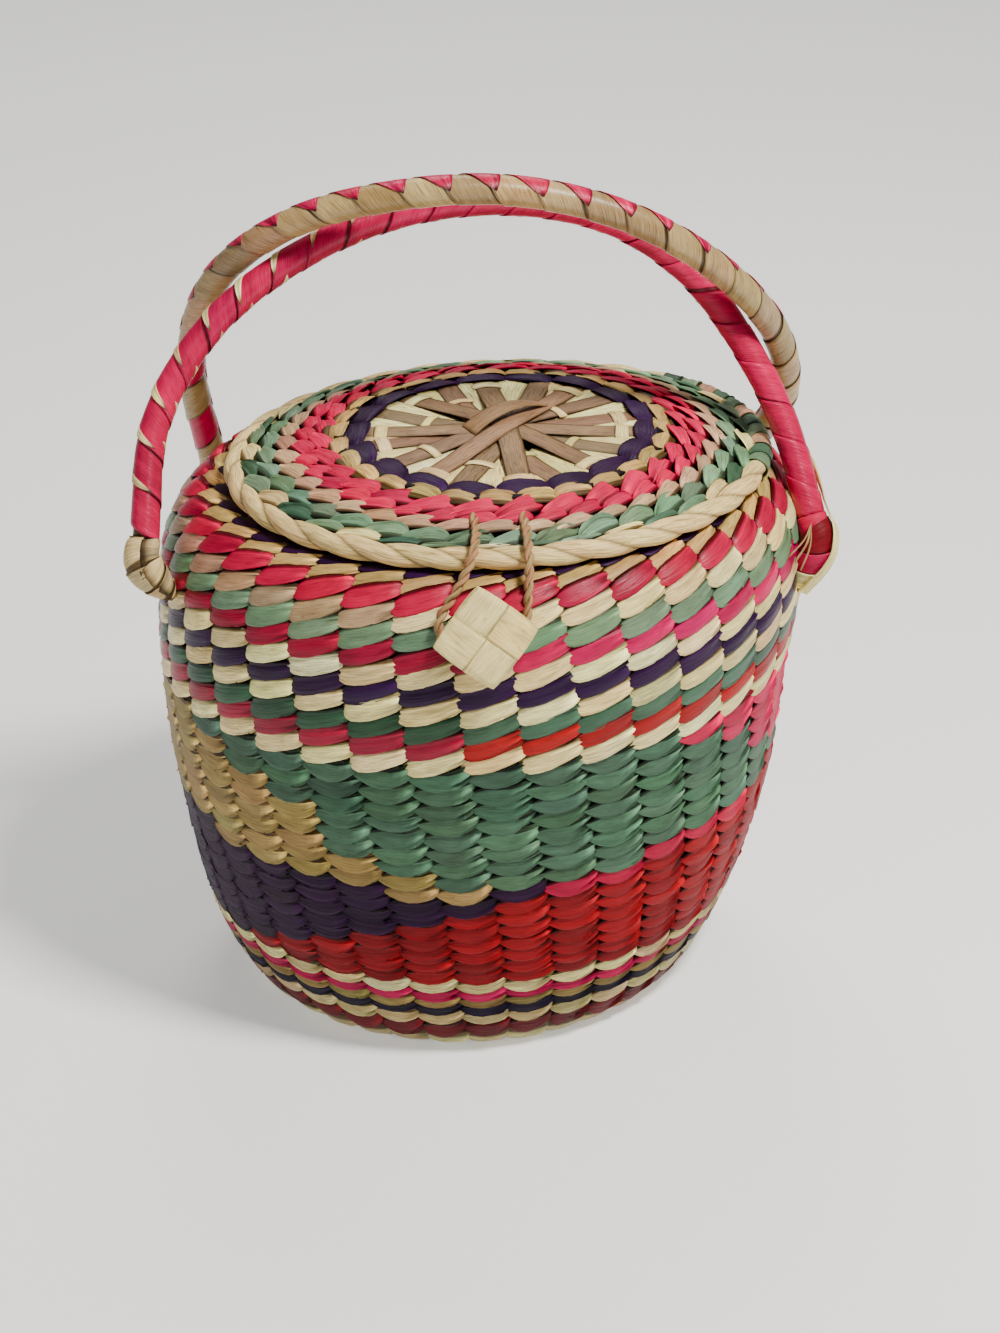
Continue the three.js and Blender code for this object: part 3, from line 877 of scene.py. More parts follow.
# %% Skin behind the stitches
SKIN_DEPTH, SKIN_THICKNESS = 1.9, 2
SKIN_SIDES, SKIN_STEPS = 144, 48
SKIN_FROM, SKIN_TRIM = 3, 4  # how far it stays from the ends of the profile
BOTTOM_RINGS = 2  # rings left out inside, so that the bottom is thick
SKIN_PAINTED_SHADE = 0.3
SKIN_MAP = (200, 600)


def skin_faces(surface, places, depth, thickness):
    """Rings of the outer and the inner face of a skin at the given places of a surface."""
    around = np.broadcast_to(2 * np.pi * np.arange(SKIN_SIDES) / SKIN_SIDES, (len(places), SKIN_SIDES))
    where = places[:, None] * np.ones_like(around)
    return [surface(around, where, np.full_like(around, -deep)) for deep in (depth, depth + thickness)]


def add_skin(name, rings, finish, slot, *nodes):
    """A closed skin through rings of points, as one strand with many sides."""
    rng = np.random.default_rng(5)
    # painted shade: the skin takes the dark colour of the shadow between the stitches
    shade = dyed(["shade"], rng)
    along = np.linspace(0, SKIN_MAP[0], len(rings))[None, :, None]
    across = np.linspace(0, SKIN_MAP[1], SKIN_SIDES + 1)[None, None, :]
    batch = strand_batch(rings[None], shade, SKIN_PAINTED_SHADE, along, across, rng)
    return add_piece(name, [batch], finish, slot, *nodes)


skin_arcs = np.linspace(SKIN_FROM, body_arc[-1] - SKIN_TRIM, SKIN_STEPS)
outer, inner = skin_faces(body_surface, skin_arcs, SKIN_DEPTH, SKIN_THICKNESS)
wall_rings = np.concatenate([outer, inner[::-1][:-BOTTOM_RINGS]])
add_skin("wall_skin", wall_rings, wall_palm, "body_palm", "body_wall")


# %% [markdown]
# The lid is a low dome. Its star is nearly round and lies a little forward, and its rim is an oval, so the
# sections change their shape and their middle from the star outwards. As for the wall, the surface is a
# function of an angle, here with the half width as the second measure.

# %% Surface of the lid
LID_SECTIONS = [
    # half width, height, shift along X, shift along Y, depth as a share of the width
    (0, 218.6, 7.5, -3, 0.93), (30, 218.8, 7.5, -3, 0.93), (50, 219, 7.5, -3, 0.93),
    (58.5, 218.6, 7.4, -2.8, 0.925), (73, 216.4, 7, -1.4, 0.895), (88, 213, 6.6, -0.3, 0.86),
    (98, 209.8, 6.5, 0, 0.855),
]
LID_BACK_SQUASH, SQUASHED = 0.03, (0, 80)  # the lid is a little flatter at the back
LID_BACK_DROP, DROPPED = 1.2, (10, 84)  # and a little lower
lid_half_widths, *lid_columns = np.array(LID_SECTIONS, float).T


def lid_surface(angle, width, out):
    """Points of the lid at an angle and a half width, moved up off it by out."""
    z, shift_x, shift_y, ratio = (smooth_table(width, lid_half_widths, column) for column in lid_columns)
    outside = smooth_table(width + HALF_STEP, lid_half_widths, lid_columns[0])
    fall = outside - smooth_table(width - HALF_STEP, lid_half_widths, lid_columns[0])
    slant = unit(np.stack([-fall, np.ones_like(fall)], -1))
    flat = unit(np.stack([np.cos(angle), np.sin(angle) / ratio], -1))
    x = shift_x + width * np.cos(angle) + out * slant[..., 0] * flat[..., 0]
    y = shift_y + ratio * width * np.sin(angle) + out * slant[..., 0] * flat[..., 1]
    z = z + out * slant[..., 1] - LID_BACK_DROP * fade(y, *DROPPED)
    return np.stack([x, y * (1 - LID_BACK_SQUASH * fade(y, *SQUASHED)), z], -1)


print("the lid is", round(2 * lid_half_widths[-1]), "mm wide")


# %% [markdown]
# The lid is worked in rings from the star outwards: each ring overlaps the one inside it, so here the inner
# edge of a stitch is the proud one. The rings are wider at the two ends of the bag than at its front and
# back, because they lie between a round star and an oval rim. Every second ring is moved on by half a
# stitch.

# %% Rings of the lid
LEAF = dict(BRICK, crest=[0.2, 0.9, 1.6, 1.5, 0.3, -1.2], crown=0.5, tilt=1.2, pleat=0.18)
ARCH = {
    "lower": [-0.2, -0.5, -0.7, -0.68, -0.42, -0.1],
    "upper": [0.1, 0.6, 0.72, 0.72, 0.6, 0.2],
    "crest": [-0.8, 0.6, 1.7, 1.7, 0.6, -1.0],
    "crown": 0.5, "tilt": 1.3, "pleat": 0.25, "crumple": 0.2, "slope": 0, "shade": 0.62, "glint": 0,
}
BLOCK = {
    "lower": [-0.3, -0.5, -0.76, -0.42, 0.05, 0.4],
    "upper": [-0.1, 0.25, 0.5, 0.75, 0.85, 0.8],
    "crest": [0.1, 0.9, 1.5, 1.5, 0.5, -1.0],
    "crown": 0.5, "tilt": 1.0, "pleat": 0.32, "crumple": 0.3, "slope": 0, "shade": 0.72, "glint": 0.4,
}
LID_RINGS = [
    # dyes in turn, stitches, share of the width at front and back, table, whether it is mirrored
    (["green", "sage", "cream"], 36, 0.2, BLOCK, True),
    (["mint", "sage"], 36, 1.1, BLOCK, True),
    (["sand"], 36, 0.85, LEAF, True),
    (["rose"], 36, 0.95, LEAF, True),
    (["rose"], 27, 1.5, LEAF, True),
    (["straw"], 27, 1.0, ARCH, False),
]
RINGS_FROM, RINGS_TO = 58, 95.5
CROSSWISE_POWER = 2.5  # how suddenly the widths change between the ends and the front
PURPLE_WIDTH, PURPLE_PITCH, PURPLE_COUNT = 55, 8.8, 18


def ring_places(index, angle):
    """Middle and pitch of a ring of the lid at each angle, as half widths."""
    crosswise = np.abs(np.sin(angle))[:, None] ** CROSSWISE_POWER
    shares = 1 - crosswise + np.array([ring[2] for ring in LID_RINGS]) * crosswise
    shares = shares / shares.sum(1, keepdims=True) * (RINGS_TO - RINGS_FROM)
    outer_edge = RINGS_TO - np.cumsum(shares, 1) + shares
    return outer_edge[:, index] - shares[:, index] / 2, shares[:, index]


def ring_angles(count, shift):
    """Even angles round the bag, moved on by a share of a stitch."""
    return 2 * np.pi * (np.arange(count) + shift) / count


def ring_of_stitches(surface, angle, width, pitch, names, style, rng, mirrored=False):
    """Stitches at even angles of a ring, each overlapping the next."""
    half_angle = np.pi / len(angle) * STITCH_OVERLAP
    half_length = half_angle * width
    return stitches(surface, angle, width, half_angle, pitch, half_length, names, style, rng, mirrored)


rng = np.random.default_rng(31)
lid_batches = []
for index, (ring_dyes, count, _, style, mirrored) in enumerate(LID_RINGS):
    angle = ring_angles(count, 0.5 * (index % 2))
    names = [ring_dyes[k % len(ring_dyes)] for k in range(count)]
    lid_batches.append(ring_of_stitches(
        lid_surface, angle, *ring_places(index, angle), names, style, rng, mirrored))
lid_batches.append(ring_of_stitches(
    lid_surface, ring_angles(PURPLE_COUNT, 0.5), PURPLE_WIDTH, PURPLE_PITCH, ["purple"] * PURPLE_COUNT,
    ARCH, rng))
add_piece("lid_rings", lid_batches, lid_palm, "lid_palm", "lid_panel")


# %% [markdown]
# A skin dyed dark as painted shade lies under the rings as it does behind the wall, so that no light comes
# through between the stitches. It goes from the middle of the lid out to the rope and back underneath.

# %% Skin under the rings
LID_SKIN_DROP, LID_SKIN_THICKNESS, LID_SKIN_STEPS = 1.6, 2.4, 20
LID_SKIN_FROM, LID_SKIN_TO = 1, 94
lid_skin_widths = np.linspace(LID_SKIN_FROM, LID_SKIN_TO, LID_SKIN_STEPS)
lid_top, lid_under = skin_faces(lid_surface, lid_skin_widths, LID_SKIN_DROP, LID_SKIN_THICKNESS)
lid_skin_rings = np.concatenate([lid_top, lid_under[::-1]])
add_skin("lid_skin", lid_skin_rings, lid_palm, "lid_palm", "lid_panel")


# %% [markdown]
# Some of the leaf is not twined but laid flat: the star of the lid, its tie and the button. Such a strip is
# a ribbon: a line, a direction across it and a thin rounded section. A curve with a bevel could make one,
# but points built like those of the stitches go into the same meshes and carry the same dye and map.

# %% Flat strips
def ribbon(line, across, half_width, thickness, crown):
    """Points of a flat strip along a line. across points to its left edge, seen from its face."""
    line, across = np.asarray(line, float), unit(np.asarray(across, float))
    face_up = unit(np.cross(unit(np.gradient(line, axis=0)), across))
    half_width = np.broadcast_to(half_width, len(line))[:, None, None]
    w = (2 * RING - 1)[None, :, None]
    lift = np.where(BEHIND, -thickness, crown * (1 - (2 * RING - 1) ** 2))[None, :, None]
    return line[:, None] - across[:, None] * half_width * w + face_up[:, None] * lift


def ribbons(lines, acrosses, half_widths, names, thickness, rng, crown=0.3, painted_shade=0.0):
    """A batch of flat strips with the same number of steps."""
    points = np.stack([
        ribbon(line, across, half_width, thickness, crown)
        for line, across, half_width in zip(lines, acrosses, half_widths)
    ])
    reach = max(lengths_along(line)[-1] for line in lines)
    along = np.linspace(0, reach, points.shape[1])[None, :, None]
    across_mm = np.concatenate([RING, [0]])[None, None, :] * 2 * float(np.max(half_widths[0]))
    return strand_batch(points, dyed(names, rng), painted_shade, along, across_mm, rng)


UP = (0, 0, 1)
edge_shade = 0.8 * fade(np.abs(2 * RING - 1), 0.7, 1)[None, None, :]  # dark where a strip lies on the next
print("a flat strip has", len(RING), "points round it")


# %% [markdown]
# The star in the middle is the start of the lid: tan palm strips laid across each other, each held by cream
# bands near its ends. The strips are piled by hand, so each has a layer of its own at the middle and comes
# down to the same height at its ends, and its heading and place are a little off.

# %% Star of the lid
STAR_STRIPS, STAR_STEPS = 9, 33
STAR_WIDTH, STAR_REACH, STAR_THICKNESS = 9, 51, 0.7
STAR_TURN, TURN_SPREAD, SIDE_SPREAD = 0.35, 0.12, 2.5
END_LIFT, LOWEST_LAYER, LAYER_STEP = 0.9, 0.4, 0.45
LAYER_ORDER = 4  # each strip lies this many layers above the last, counted round
OUTER_BAND, INNER_BAND, INNER_SPREAD = (0.9, 2.6), (0.56, 1.8), 0.06  # share of the reach, half width
BAND_STEPS, BAND_HALF, BAND_RISE, BAND_BEND, BAND_THICKNESS = 9, 0.64, 0.9, 2.6, 0.5


def star_line(angle, radii, lift):
    """A radial line over the lid. Negative radii lie beyond the middle."""
    turned = np.where(radii < 0, angle + np.pi, angle)
    return lid_surface(turned, np.abs(radii), np.broadcast_to(lift, radii.shape).astype(float))


rng = np.random.default_rng(41)
strip_lines, strip_sides, band_lines, band_sides, band_widths = [], [], [], [], []
reach = np.linspace(-STAR_REACH, STAR_REACH, STAR_STEPS)
mound = 1 - (reach / STAR_REACH) ** 2
spread = np.linspace(-BAND_HALF, BAND_HALF, BAND_STEPS)
band_arch = np.outer(BAND_RISE - BAND_BEND * spread**2, UP)
for k in range(STAR_STRIPS):
    heading = np.pi * (k + STAR_TURN + TURN_SPREAD * rng.normal()) / STAR_STRIPS
    side = np.array([-math.sin(heading), math.cos(heading), 0])
    layer = LOWEST_LAYER + LAYER_STEP * ((LAYER_ORDER * k) % STAR_STRIPS)
    line = star_line(heading, reach, END_LIFT + layer * mound**2)
    line = line + np.outer(SIDE_SPREAD * rng.normal() * mound, side)
    strip_lines.append(line)
    strip_sides.append(np.broadcast_to(side, line.shape))
    for end in (1, -1):
        is_inner = (k + end) % 2 == 0
        radius, half_width = INNER_BAND if is_inner else OUTER_BAND
        if is_inner:
            radius = radius + INNER_SPREAD * rng.normal()
        at = int(np.argmin(np.abs(reach / STAR_REACH - end * radius)))
        band_line = line[at] + np.outer(spread * STAR_WIDTH, side) + band_arch
        band_lines.append(band_line)
        band_sides.append(np.broadcast_to(unit(line[at - 1] - line[at]), band_line.shape))
        band_widths.append(half_width)
star_batches = [
    ribbons(strip_lines, strip_sides, [STAR_WIDTH / 2] * STAR_STRIPS, ["brown"] * STAR_STRIPS,
            STAR_THICKNESS, rng, crown=0.5, painted_shade=0.6 * edge_shade),
    ribbons(band_lines, band_sides, band_widths, ["cream"] * len(band_lines), BAND_THICKNESS, rng,
            painted_shade=0.5 * edge_shade),
]
print(STAR_STRIPS, "strips and", len(band_lines), "bands")


# %% [markdown]
# Between the strips, cream petals widen to the first ring, which grips them. They lie under the strips and
# are crowned, so that each one reads as a folded leaf and not as a painted wedge.

# %% Petals of the star
PETALS, PETAL_STEPS, PETAL_TURN = 18, 9, 0.85
PETAL_FROM, PETAL_TO, PETAL_LIFT, PETAL_THICKNESS = 20, 51, 0.1, 0.6
PETAL_HALF_WIDTHS = np.linspace(2.6, 7.8, PETAL_STEPS)
petal_angles = np.pi * (np.arange(PETALS) + PETAL_TURN) / STAR_STRIPS
petal_radii = np.linspace(PETAL_FROM, PETAL_TO, PETAL_STEPS)
petal_lines = [star_line(a, petal_radii, PETAL_LIFT) for a in petal_angles]
petal_sides = [np.broadcast_to((-math.sin(a), math.cos(a), 0), (PETAL_STEPS, 3)) for a in petal_angles]
star_batches.append(ribbons(
    petal_lines, petal_sides, [PETAL_HALF_WIDTHS] * PETALS, ["cream"] * PETALS, PETAL_THICKNESS, rng,
    crown=1, painted_shade=edge_shade))
add_piece("lid_star", star_batches, lid_palm, "lid_palm", "lid_panel")


# %% [markdown]
# One more strip bows up over the middle of the star, where the last strand was pulled through and tapered
# off. It is a single ribbon on an arched line, wide at one end and narrow at the other.

# %% Bowed strip over the star
BOW_LENGTH, BOW_RISE, BOW_TURN, BOW_THICKNESS = 36, 5, math.radians(27), 0.8
BOW_CENTRE = np.array([11, 3, 222.2])
BOW_PLACES, BOW_HALF_WIDTHS = [-1, -0.2, 0.6, 1], [4.6, 4.4, 3.2, 1.2]
BOW_STEPS = 25
bow = np.linspace(-1, 1, BOW_STEPS)
bow_heading = np.array([math.cos(BOW_TURN), math.sin(BOW_TURN), 0])
bow_line = BOW_CENTRE + np.outer(bow * BOW_LENGTH / 2, bow_heading) + np.outer(BOW_RISE * (1 - bow**2), UP)
bow_side = np.broadcast_to((-bow_heading[1], bow_heading[0], 0), bow_line.shape)
bow_width = np.interp(bow, BOW_PLACES, BOW_HALF_WIDTHS)
bow_batch = ribbons([bow_line], [bow_side], [bow_width], ["brown"], BOW_THICKNESS, rng, crown=0.5)
add_piece("lid_bowed_strip", [bow_batch], lid_palm, "strip_palm", "lid_center_strip")


# %% [markdown]
# The rim of the lid is a thick rope of two cream plies, each a bundle of leaf with a slow twist. It lies on
# the ledge all round. The function of the thin cord makes it too, with thicker plies and a little unevenness
# from twisting by hand.

# %% Rope rim
ROPE_HALF_WIDTH, ROPE_DROP = 98, 1.2
ROPE_TURN, ROPE_OFFSET, ROPE_PLY = 38, 1.0, 3.3
ROPE_STEPS, ROPE_SIDES, ROPE_WOBBLE = 721, 24, 0.02


def rope_path(angle):
    """The middle of the rope at some angles round the lid."""
    return lid_surface(angle, np.full_like(angle, ROPE_HALF_WIDTH), np.full_like(angle, -ROPE_DROP))


rng = np.random.default_rng(51)
rope_line = rope_path(np.linspace(0, 2 * np.pi, ROPE_STEPS))
rope_batch = twist(rope_line, ROPE_OFFSET, ROPE_TURN, ROPE_PLY, ["cream", "cream"], rng,
                   sides=ROPE_SIDES, wobble=ROPE_WOBBLE)
add_piece("lid_rope", [rope_batch], rope_palm, "rope_palm", "lid_rim")


# %% [markdown]
# A strap of undyed leaf holds the lid to the shoulder at the back, out of the photograph's sight. Three
# ribbons side by side follow one line over the rope and down the shoulder.

# %% Back tie
TIE_LINE = [(78, 206.5), (85, 205.8), (91.5, 205), (95.2, 201.5), (99.2, 197), (102.6, 190), (105, 184)]
TIE_X, TIE_WIDTH, TIE_HALF_STRIP, TIE_THICKNESS, TIE_STEPS = 6, 20, 3.2, 1.2, 21
tie_line = curve_through([(TIE_X, y, z) for y, z in TIE_LINE], TIE_STEPS)
tie_parts = [tie_line + np.array([shift * TIE_WIDTH / 3, 0, 0]) for shift in (-1, 0, 1)]
tie_sides = [np.broadcast_to((-1, 0, 0), tie_line.shape)] * 3
tie_batch = ribbons(
    tie_parts, tie_sides, [TIE_HALF_STRIP] * 3, ["natural"] * 3, TIE_THICKNESS, rng, crown=0.5)
add_piece("lid_back_strap", [tie_batch], plain_palm, "strip_palm", "lid_back_tie")


# %% [markdown]
# Each handle is a palm core wound with a wide strip: red on the front handle and undyed on the back one. A
# second strip of the other colour is worked in, and shows only as slivers or pointed teeth over the joins of
# the turns. A turn has the same shape as a stitch, bent round the handle, so the stitch function makes it on
# a surface of its own: angles from the outside of the arch, and lengths along the handle.

# %% Surface of a handle
ARCH_CENTRE = np.array([0, 0, 200])
TURN_STEPS = np.linspace(-1, 1, 27)


def wound_surface(line, radius):
    """The surface round a line, as a function of angle, length and distance outwards, and its length."""
    tangents = unit(np.gradient(line, axis=0))
    outward = line - ARCH_CENTRE
    outward = unit(outward - tangents * (outward * tangents).sum(1, keepdims=True))
    side = np.cross(tangents, outward)
    steps = lengths_along(line)

    def at(table, where):
        return np.stack([np.interp(where, steps, table[:, axis]) for axis in range(3)], -1)

    def surface(angle, where, out):
        where = np.clip(where, 0, steps[-1])
        reach = (np.interp(where, steps, np.broadcast_to(radius, len(line))) + out)[..., None]
        ring = at(outward, where) * np.cos(angle)[..., None] + at(side, where) * np.sin(angle)[..., None]
        return at(line, where) + reach * ring

    return surface, steps[-1]


def core_batch(line, radius, sides, girth, painted_shade, rng):
    """The brown core inside some turns, which shows only between them, darkened by painted shade."""
    core = tube_points(line, radius, sides)
    along = np.linspace(0, lengths_along(line)[-1], len(line))[None, :, None]
    across = np.linspace(0, girth, sides + 1)[None, None, :]
    return strand_batch(core[None], dyed(["brown"], rng), painted_shade, along, across, rng)


print("a turn has", len(TURN_STEPS), "steps")


# %% [markdown]
# The route of each handle repeats the solid's. A table gives its two dyes, how far a turn climbs along it,
# and how far round the teeth reach on either side: they are long on the left, where the other colour
# covers the inside, and run out towards the right.

# %% Tables of the handles
FRONT_HANDLE = [
    (-127, -20, 197.5), (-119, 0, 233.5), (-96.5, 14, 263), (-62, 22, 285), (-22, 24.5, 298),
    (18.5, 23, 299.5), (54, 18.5, 290.5), (81, 11, 271.5), (99.5, 0, 246), (112.5, -15, 217.5),
    (118.5, -33, 189),
]
BACK_HANDLE = [
    (-94, 72.5, 180.5), (-101.5, 53.5, 234.5), (-91.5, 34.5, 273.5), (-65.5, 17, 299.5), (-28.5, 2.5, 313),
    (13, -6.5, 315), (52.5, -11, 304), (86, -9.5, 281.5), (110.5, 0.5, 251.5), (121, 20.5, 217),
    (115, 51.5, 179.5),
]
WRAP = {
    "lower": [-0.57] * 6, "upper": [0.77] * 6, "crest": [0.1] * 6,
    "crown": 0, "tilt": 0.5, "pleat": 0.02, "crumple": 0, "shade": 0.71, "glint": 0,
}
TEETH = dict(
    WRAP, lower=[-0.3, -0.4, -0.5, -0.36, -0.15, -0.01], upper=[0.3, 0.4, 0.5, 0.32, 0.12, 0.01],
    crest=[0.45, 0.45, 0.45, 0.45, 0.45, 0.4], tilt=0.1, shade=1)
SLIVERS = dict(
    TEETH, lower=[-0.01, -0.07, -0.14, -0.13, -0.07, -0.01], upper=[0.01, 0.07, 0.14, 0.11, 0.05, 0.01],
    crest=[0.25, 0.3, 0.35, 0.4, 0.45, 0.4])
# near and far are degrees at even places along the handle: how far the teeth reach round on either side.
# slant is how far a turn climbs, and in the first checks turns the two dyes alternate.
HANDLES = {
    "handle_front_wound": {
        "route": FRONT_HANDLE, "wrap_dye": "raspberry", "tooth_dye": "cream", "teeth": SLIVERS,
        "slant": -22, "checks": 0, "near": [100, 96, 40, 0, -10], "far": [-228, -226, -200, -180, -180],
        "slot": "red_handle_palm", "node": "handle_front",
    },
    "handle_back_wound": {
        "route": BACK_HANDLE, "wrap_dye": "pale", "tooth_dye": "raspberry", "teeth": TEETH,
        "slant": 20, "checks": 5, "near": [44, 48, 66, 74, 56, 0, -10], "far": [-150] * 7,
        "slot": "natural_handle_palm", "node": "handle_back",
    },
}
print(len(HANDLES), "handles")


# %% [markdown]
# The turns follow one another along the handle and each overlaps the next a little, so that the winding is
# closed. The teeth lie over the joins, and because they climb at the same slant as the turns, they stay on
# them all the way round. A screw modifier could wind one long strip, but it could not change dye or width.

# %% Wound handles
HANDLE_RADIUS, HANDLE_STEPS = 6, 240
FACING = 100  # degrees from the top of the arch to the side that faces the camera
TURN_PITCH, TURN_DEPTH = 16, 0.75
WRAP_HALF = 184  # degrees from the middle of a turn to its hidden end
WRAP_LENGTH, TOOTH_LENGTH = 20, 13  # half lengths of the strips, for the map along the leaf
TOOTH_SPREAD = 5
# the core is darkened by painted shade, as it shows only in the gaps between turns
CORE_DEPTH, CORE_SIDES, CORE_GIRTH, CORE_PAINTED_SHADE = 1.6, 16, 30, 0.5


def handle_batches(plan, rng):
    """Turns of one dye, teeth of the other over the joins of the turns, and the core."""
    line = curve_through(plan["route"], HANDLE_STEPS)
    surface, length = wound_surface(line, HANDLE_RADIUS - TURN_DEPTH)
    where = np.arange(0.5 * TURN_PITCH, length, TURN_PITCH)
    count = len(where)
    places = np.linspace(0, 1, len(plan["near"]))
    near = np.interp(where / length, places, plan["near"]) + TOOTH_SPREAD * rng.normal(0, 1, count)
    far = np.interp(where / length, places, plan["far"]) + TOOTH_SPREAD * rng.normal(0, 1, count)
    middle, half = (near + far) / 2, (near - far) / 2
    climb = plan["slant"] / (2 * WRAP_HALF)  # mm for each degree round the handle
    joins = where + TURN_PITCH / 2 + climb * (middle - FACING)
    dyes = [plan["tooth_dye" if k < plan["checks"] and k % 2 else "wrap_dye"] for k in range(count)]
    facing = np.full(count, math.radians(FACING))
    turns = stitches(
        surface, facing, where, math.radians(WRAP_HALF), TURN_PITCH, WRAP_LENGTH, dyes,
        dict(WRAP, slope=plan["slant"]), rng, steps=TURN_STEPS)
    teeth = stitches(
        surface, np.radians(middle), joins, np.radians(half), TURN_PITCH, TOOTH_LENGTH,
        [plan["tooth_dye"]] * count, dict(plan["teeth"], slope=2 * climb * half), rng, steps=TURN_STEPS)
    core = core_batch(line, HANDLE_RADIUS - CORE_DEPTH, CORE_SIDES, CORE_GIRTH, CORE_PAINTED_SHADE, rng)
    return [turns, teeth, core]


rng = np.random.default_rng(61)
for handle_name, plan in HANDLES.items():
    add_piece(handle_name, handle_batches(plan, rng), handle_palm, plan["slot"], plan["node"])


# %% [markdown]
# Palm binds each handle's end into the wall: a few broad turns round a bulb that tapers to where the strip
# goes in between the stitches. The one at the front right has come partly undone, with a strip down its
# outside and a few fibres that hang out. They break up its outline, which a smooth bulb would not.

# %% Loose ends of a lashing
LOOSE_ROUND = (-40, 75)  # degrees round the handle from the upper end of the loose strip to its lower end
ON_HANDLE, ON_LASHING = 5, 7  # points of the strip on each of them
LOOSE_FROM, LOOSE_TO, LOOSE_LIFT, LOOSE_STEPS = 24, 3, 0.6, 33
LOOSE_PLACES, LOOSE_HALF_WIDTHS, LOOSE_THICKNESS = [0, 0.3, 1], [1.2, 3, 2], 0.5
LASHING_FROM, LASHING_TRIM = 2, 1  # mm of a lashing that stay free at its ends
FIBRES = [((-9, -13, -8), 0.7), ((-7, -14, -11), 0.5), ((-11, -12, -6), 0.4)]  # where it leads, half width
FIBRE_STEPS, FIBRE_ANGLE, FIBRE_START, FIBRE_BEND = 9, 105.0, 4.0, (1, -2, 1)
FIBRE_SIDE, FIBRE_THICKNESS = (0.4, 0.3, -0.85), 0.3


def loose_ends(whole, surface, length, rng):
    """A cream strip down the outside of a lashing, and a few fibres that hang out of it."""
    on_handle, handle_length = wound_surface(whole, HANDLE_RADIUS)
    angles = np.radians(np.linspace(*LOOSE_ROUND, ON_HANDLE + ON_LASHING))
    upper_places = handle_length - np.linspace(LOOSE_FROM, LOOSE_TO, ON_HANDLE)
    lower_places = np.linspace(LASHING_FROM, length - LASHING_TRIM, ON_LASHING)
    runs = []
    for out in (0.0, LOOSE_LIFT):
        upper = on_handle(angles[:ON_HANDLE], upper_places, np.full(ON_HANDLE, out))
        lower = surface(angles[ON_HANDLE:], lower_places, np.full(ON_LASHING, out + 1))
        runs.append(curve_through(np.concatenate([upper, lower]), LOOSE_STEPS))
    side = np.cross(unit(runs[1] - runs[0]), unit(np.gradient(runs[1], axis=0)))
    widths = np.interp(np.linspace(0, 1, LOOSE_STEPS), LOOSE_PLACES, LOOSE_HALF_WIDTHS)
    strip = ribbons([runs[1]], [side], [widths], ["cream"], LOOSE_THICKNESS, rng)
    start = surface(np.radians([FIBRE_ANGLE]), np.array([FIBRE_START]), np.array([1.0]))[0]
    lines = [
        curve_through([start, start + 0.5 * np.array(lead) + FIBRE_BEND, start + lead], FIBRE_STEPS)
        for lead, _ in FIBRES
    ]
    sides = [np.broadcast_to(FIBRE_SIDE, (FIBRE_STEPS, 3))] * len(FIBRES)
    widths = [width for _, width in FIBRES]
    fibres = ribbons(lines, sides, widths, ["natural"] * len(FIBRES), FIBRE_THICKNESS, rng)
    return [strip, fibres]


print(len(FIBRES), "loose fibres")


# %% [markdown]
# The bulb's line goes on from the handle's end in the same direction and bends to its tip in the wall. Its
# turns are stitches again, on a surface whose radius swells and tapers, so the lashing needs no mesh of its
# own kind.

# %% Lashings of the handles
LASHING_RADII = [6, 7, 7.6, 7, 5.6, 3.8]
LASHING_LEAD, LASHING_STEPS = 9, 60
LASHINGS = [
    # name, handle, whether it is at the handle's start, tip, dyes of the turns
    ("lashing_front_left", FRONT_HANDLE, True, (-119, -22, 174), ["buff"] * 4),
    ("lashing_front_right", FRONT_HANDLE, False, (114, -37, 161),
     ["raspberry", "dark_red", "raspberry", "cream"]),
    ("lashing_back_left", BACK_HANDLE, True, (-87, 71, 156), ["buff"] * 4),
    ("lashing_back_right", BACK_HANDLE, False, (104, 51, 156), ["cream"] * 4),
]
LOOSE_LASHING = "lashing_front_right"
BINDING = {
    "lower": [-0.58, -0.62, -0.64, -0.64, -0.62, -0.58],
    "upper": [0.6, 0.64, 0.66, 0.66, 0.64, 0.6],
    "crest": [0.1, 0.2, 0.25, 0.25, 0.2, 0.1],
    "crown": 0.25, "tilt": 0.8, "pleat": 0.08, "crumple": 0, "slope": 9, "shade": 0.71, "glint": 0,
}
BINDING_PITCH, BINDING_LENGTH, BINDING_HALF = 8, 22, math.radians(188)
BINDING_DEPTH, BULB_DEPTH, BULB_SIDES, BULB_GIRTH = 0.9, 1.8, 12, 40
# the bulb's core is darkened by painted shade, as it shows only between the turns
BULB_PAINTED_SHADE, ANGLE_SPREAD = 0.4, 0.3

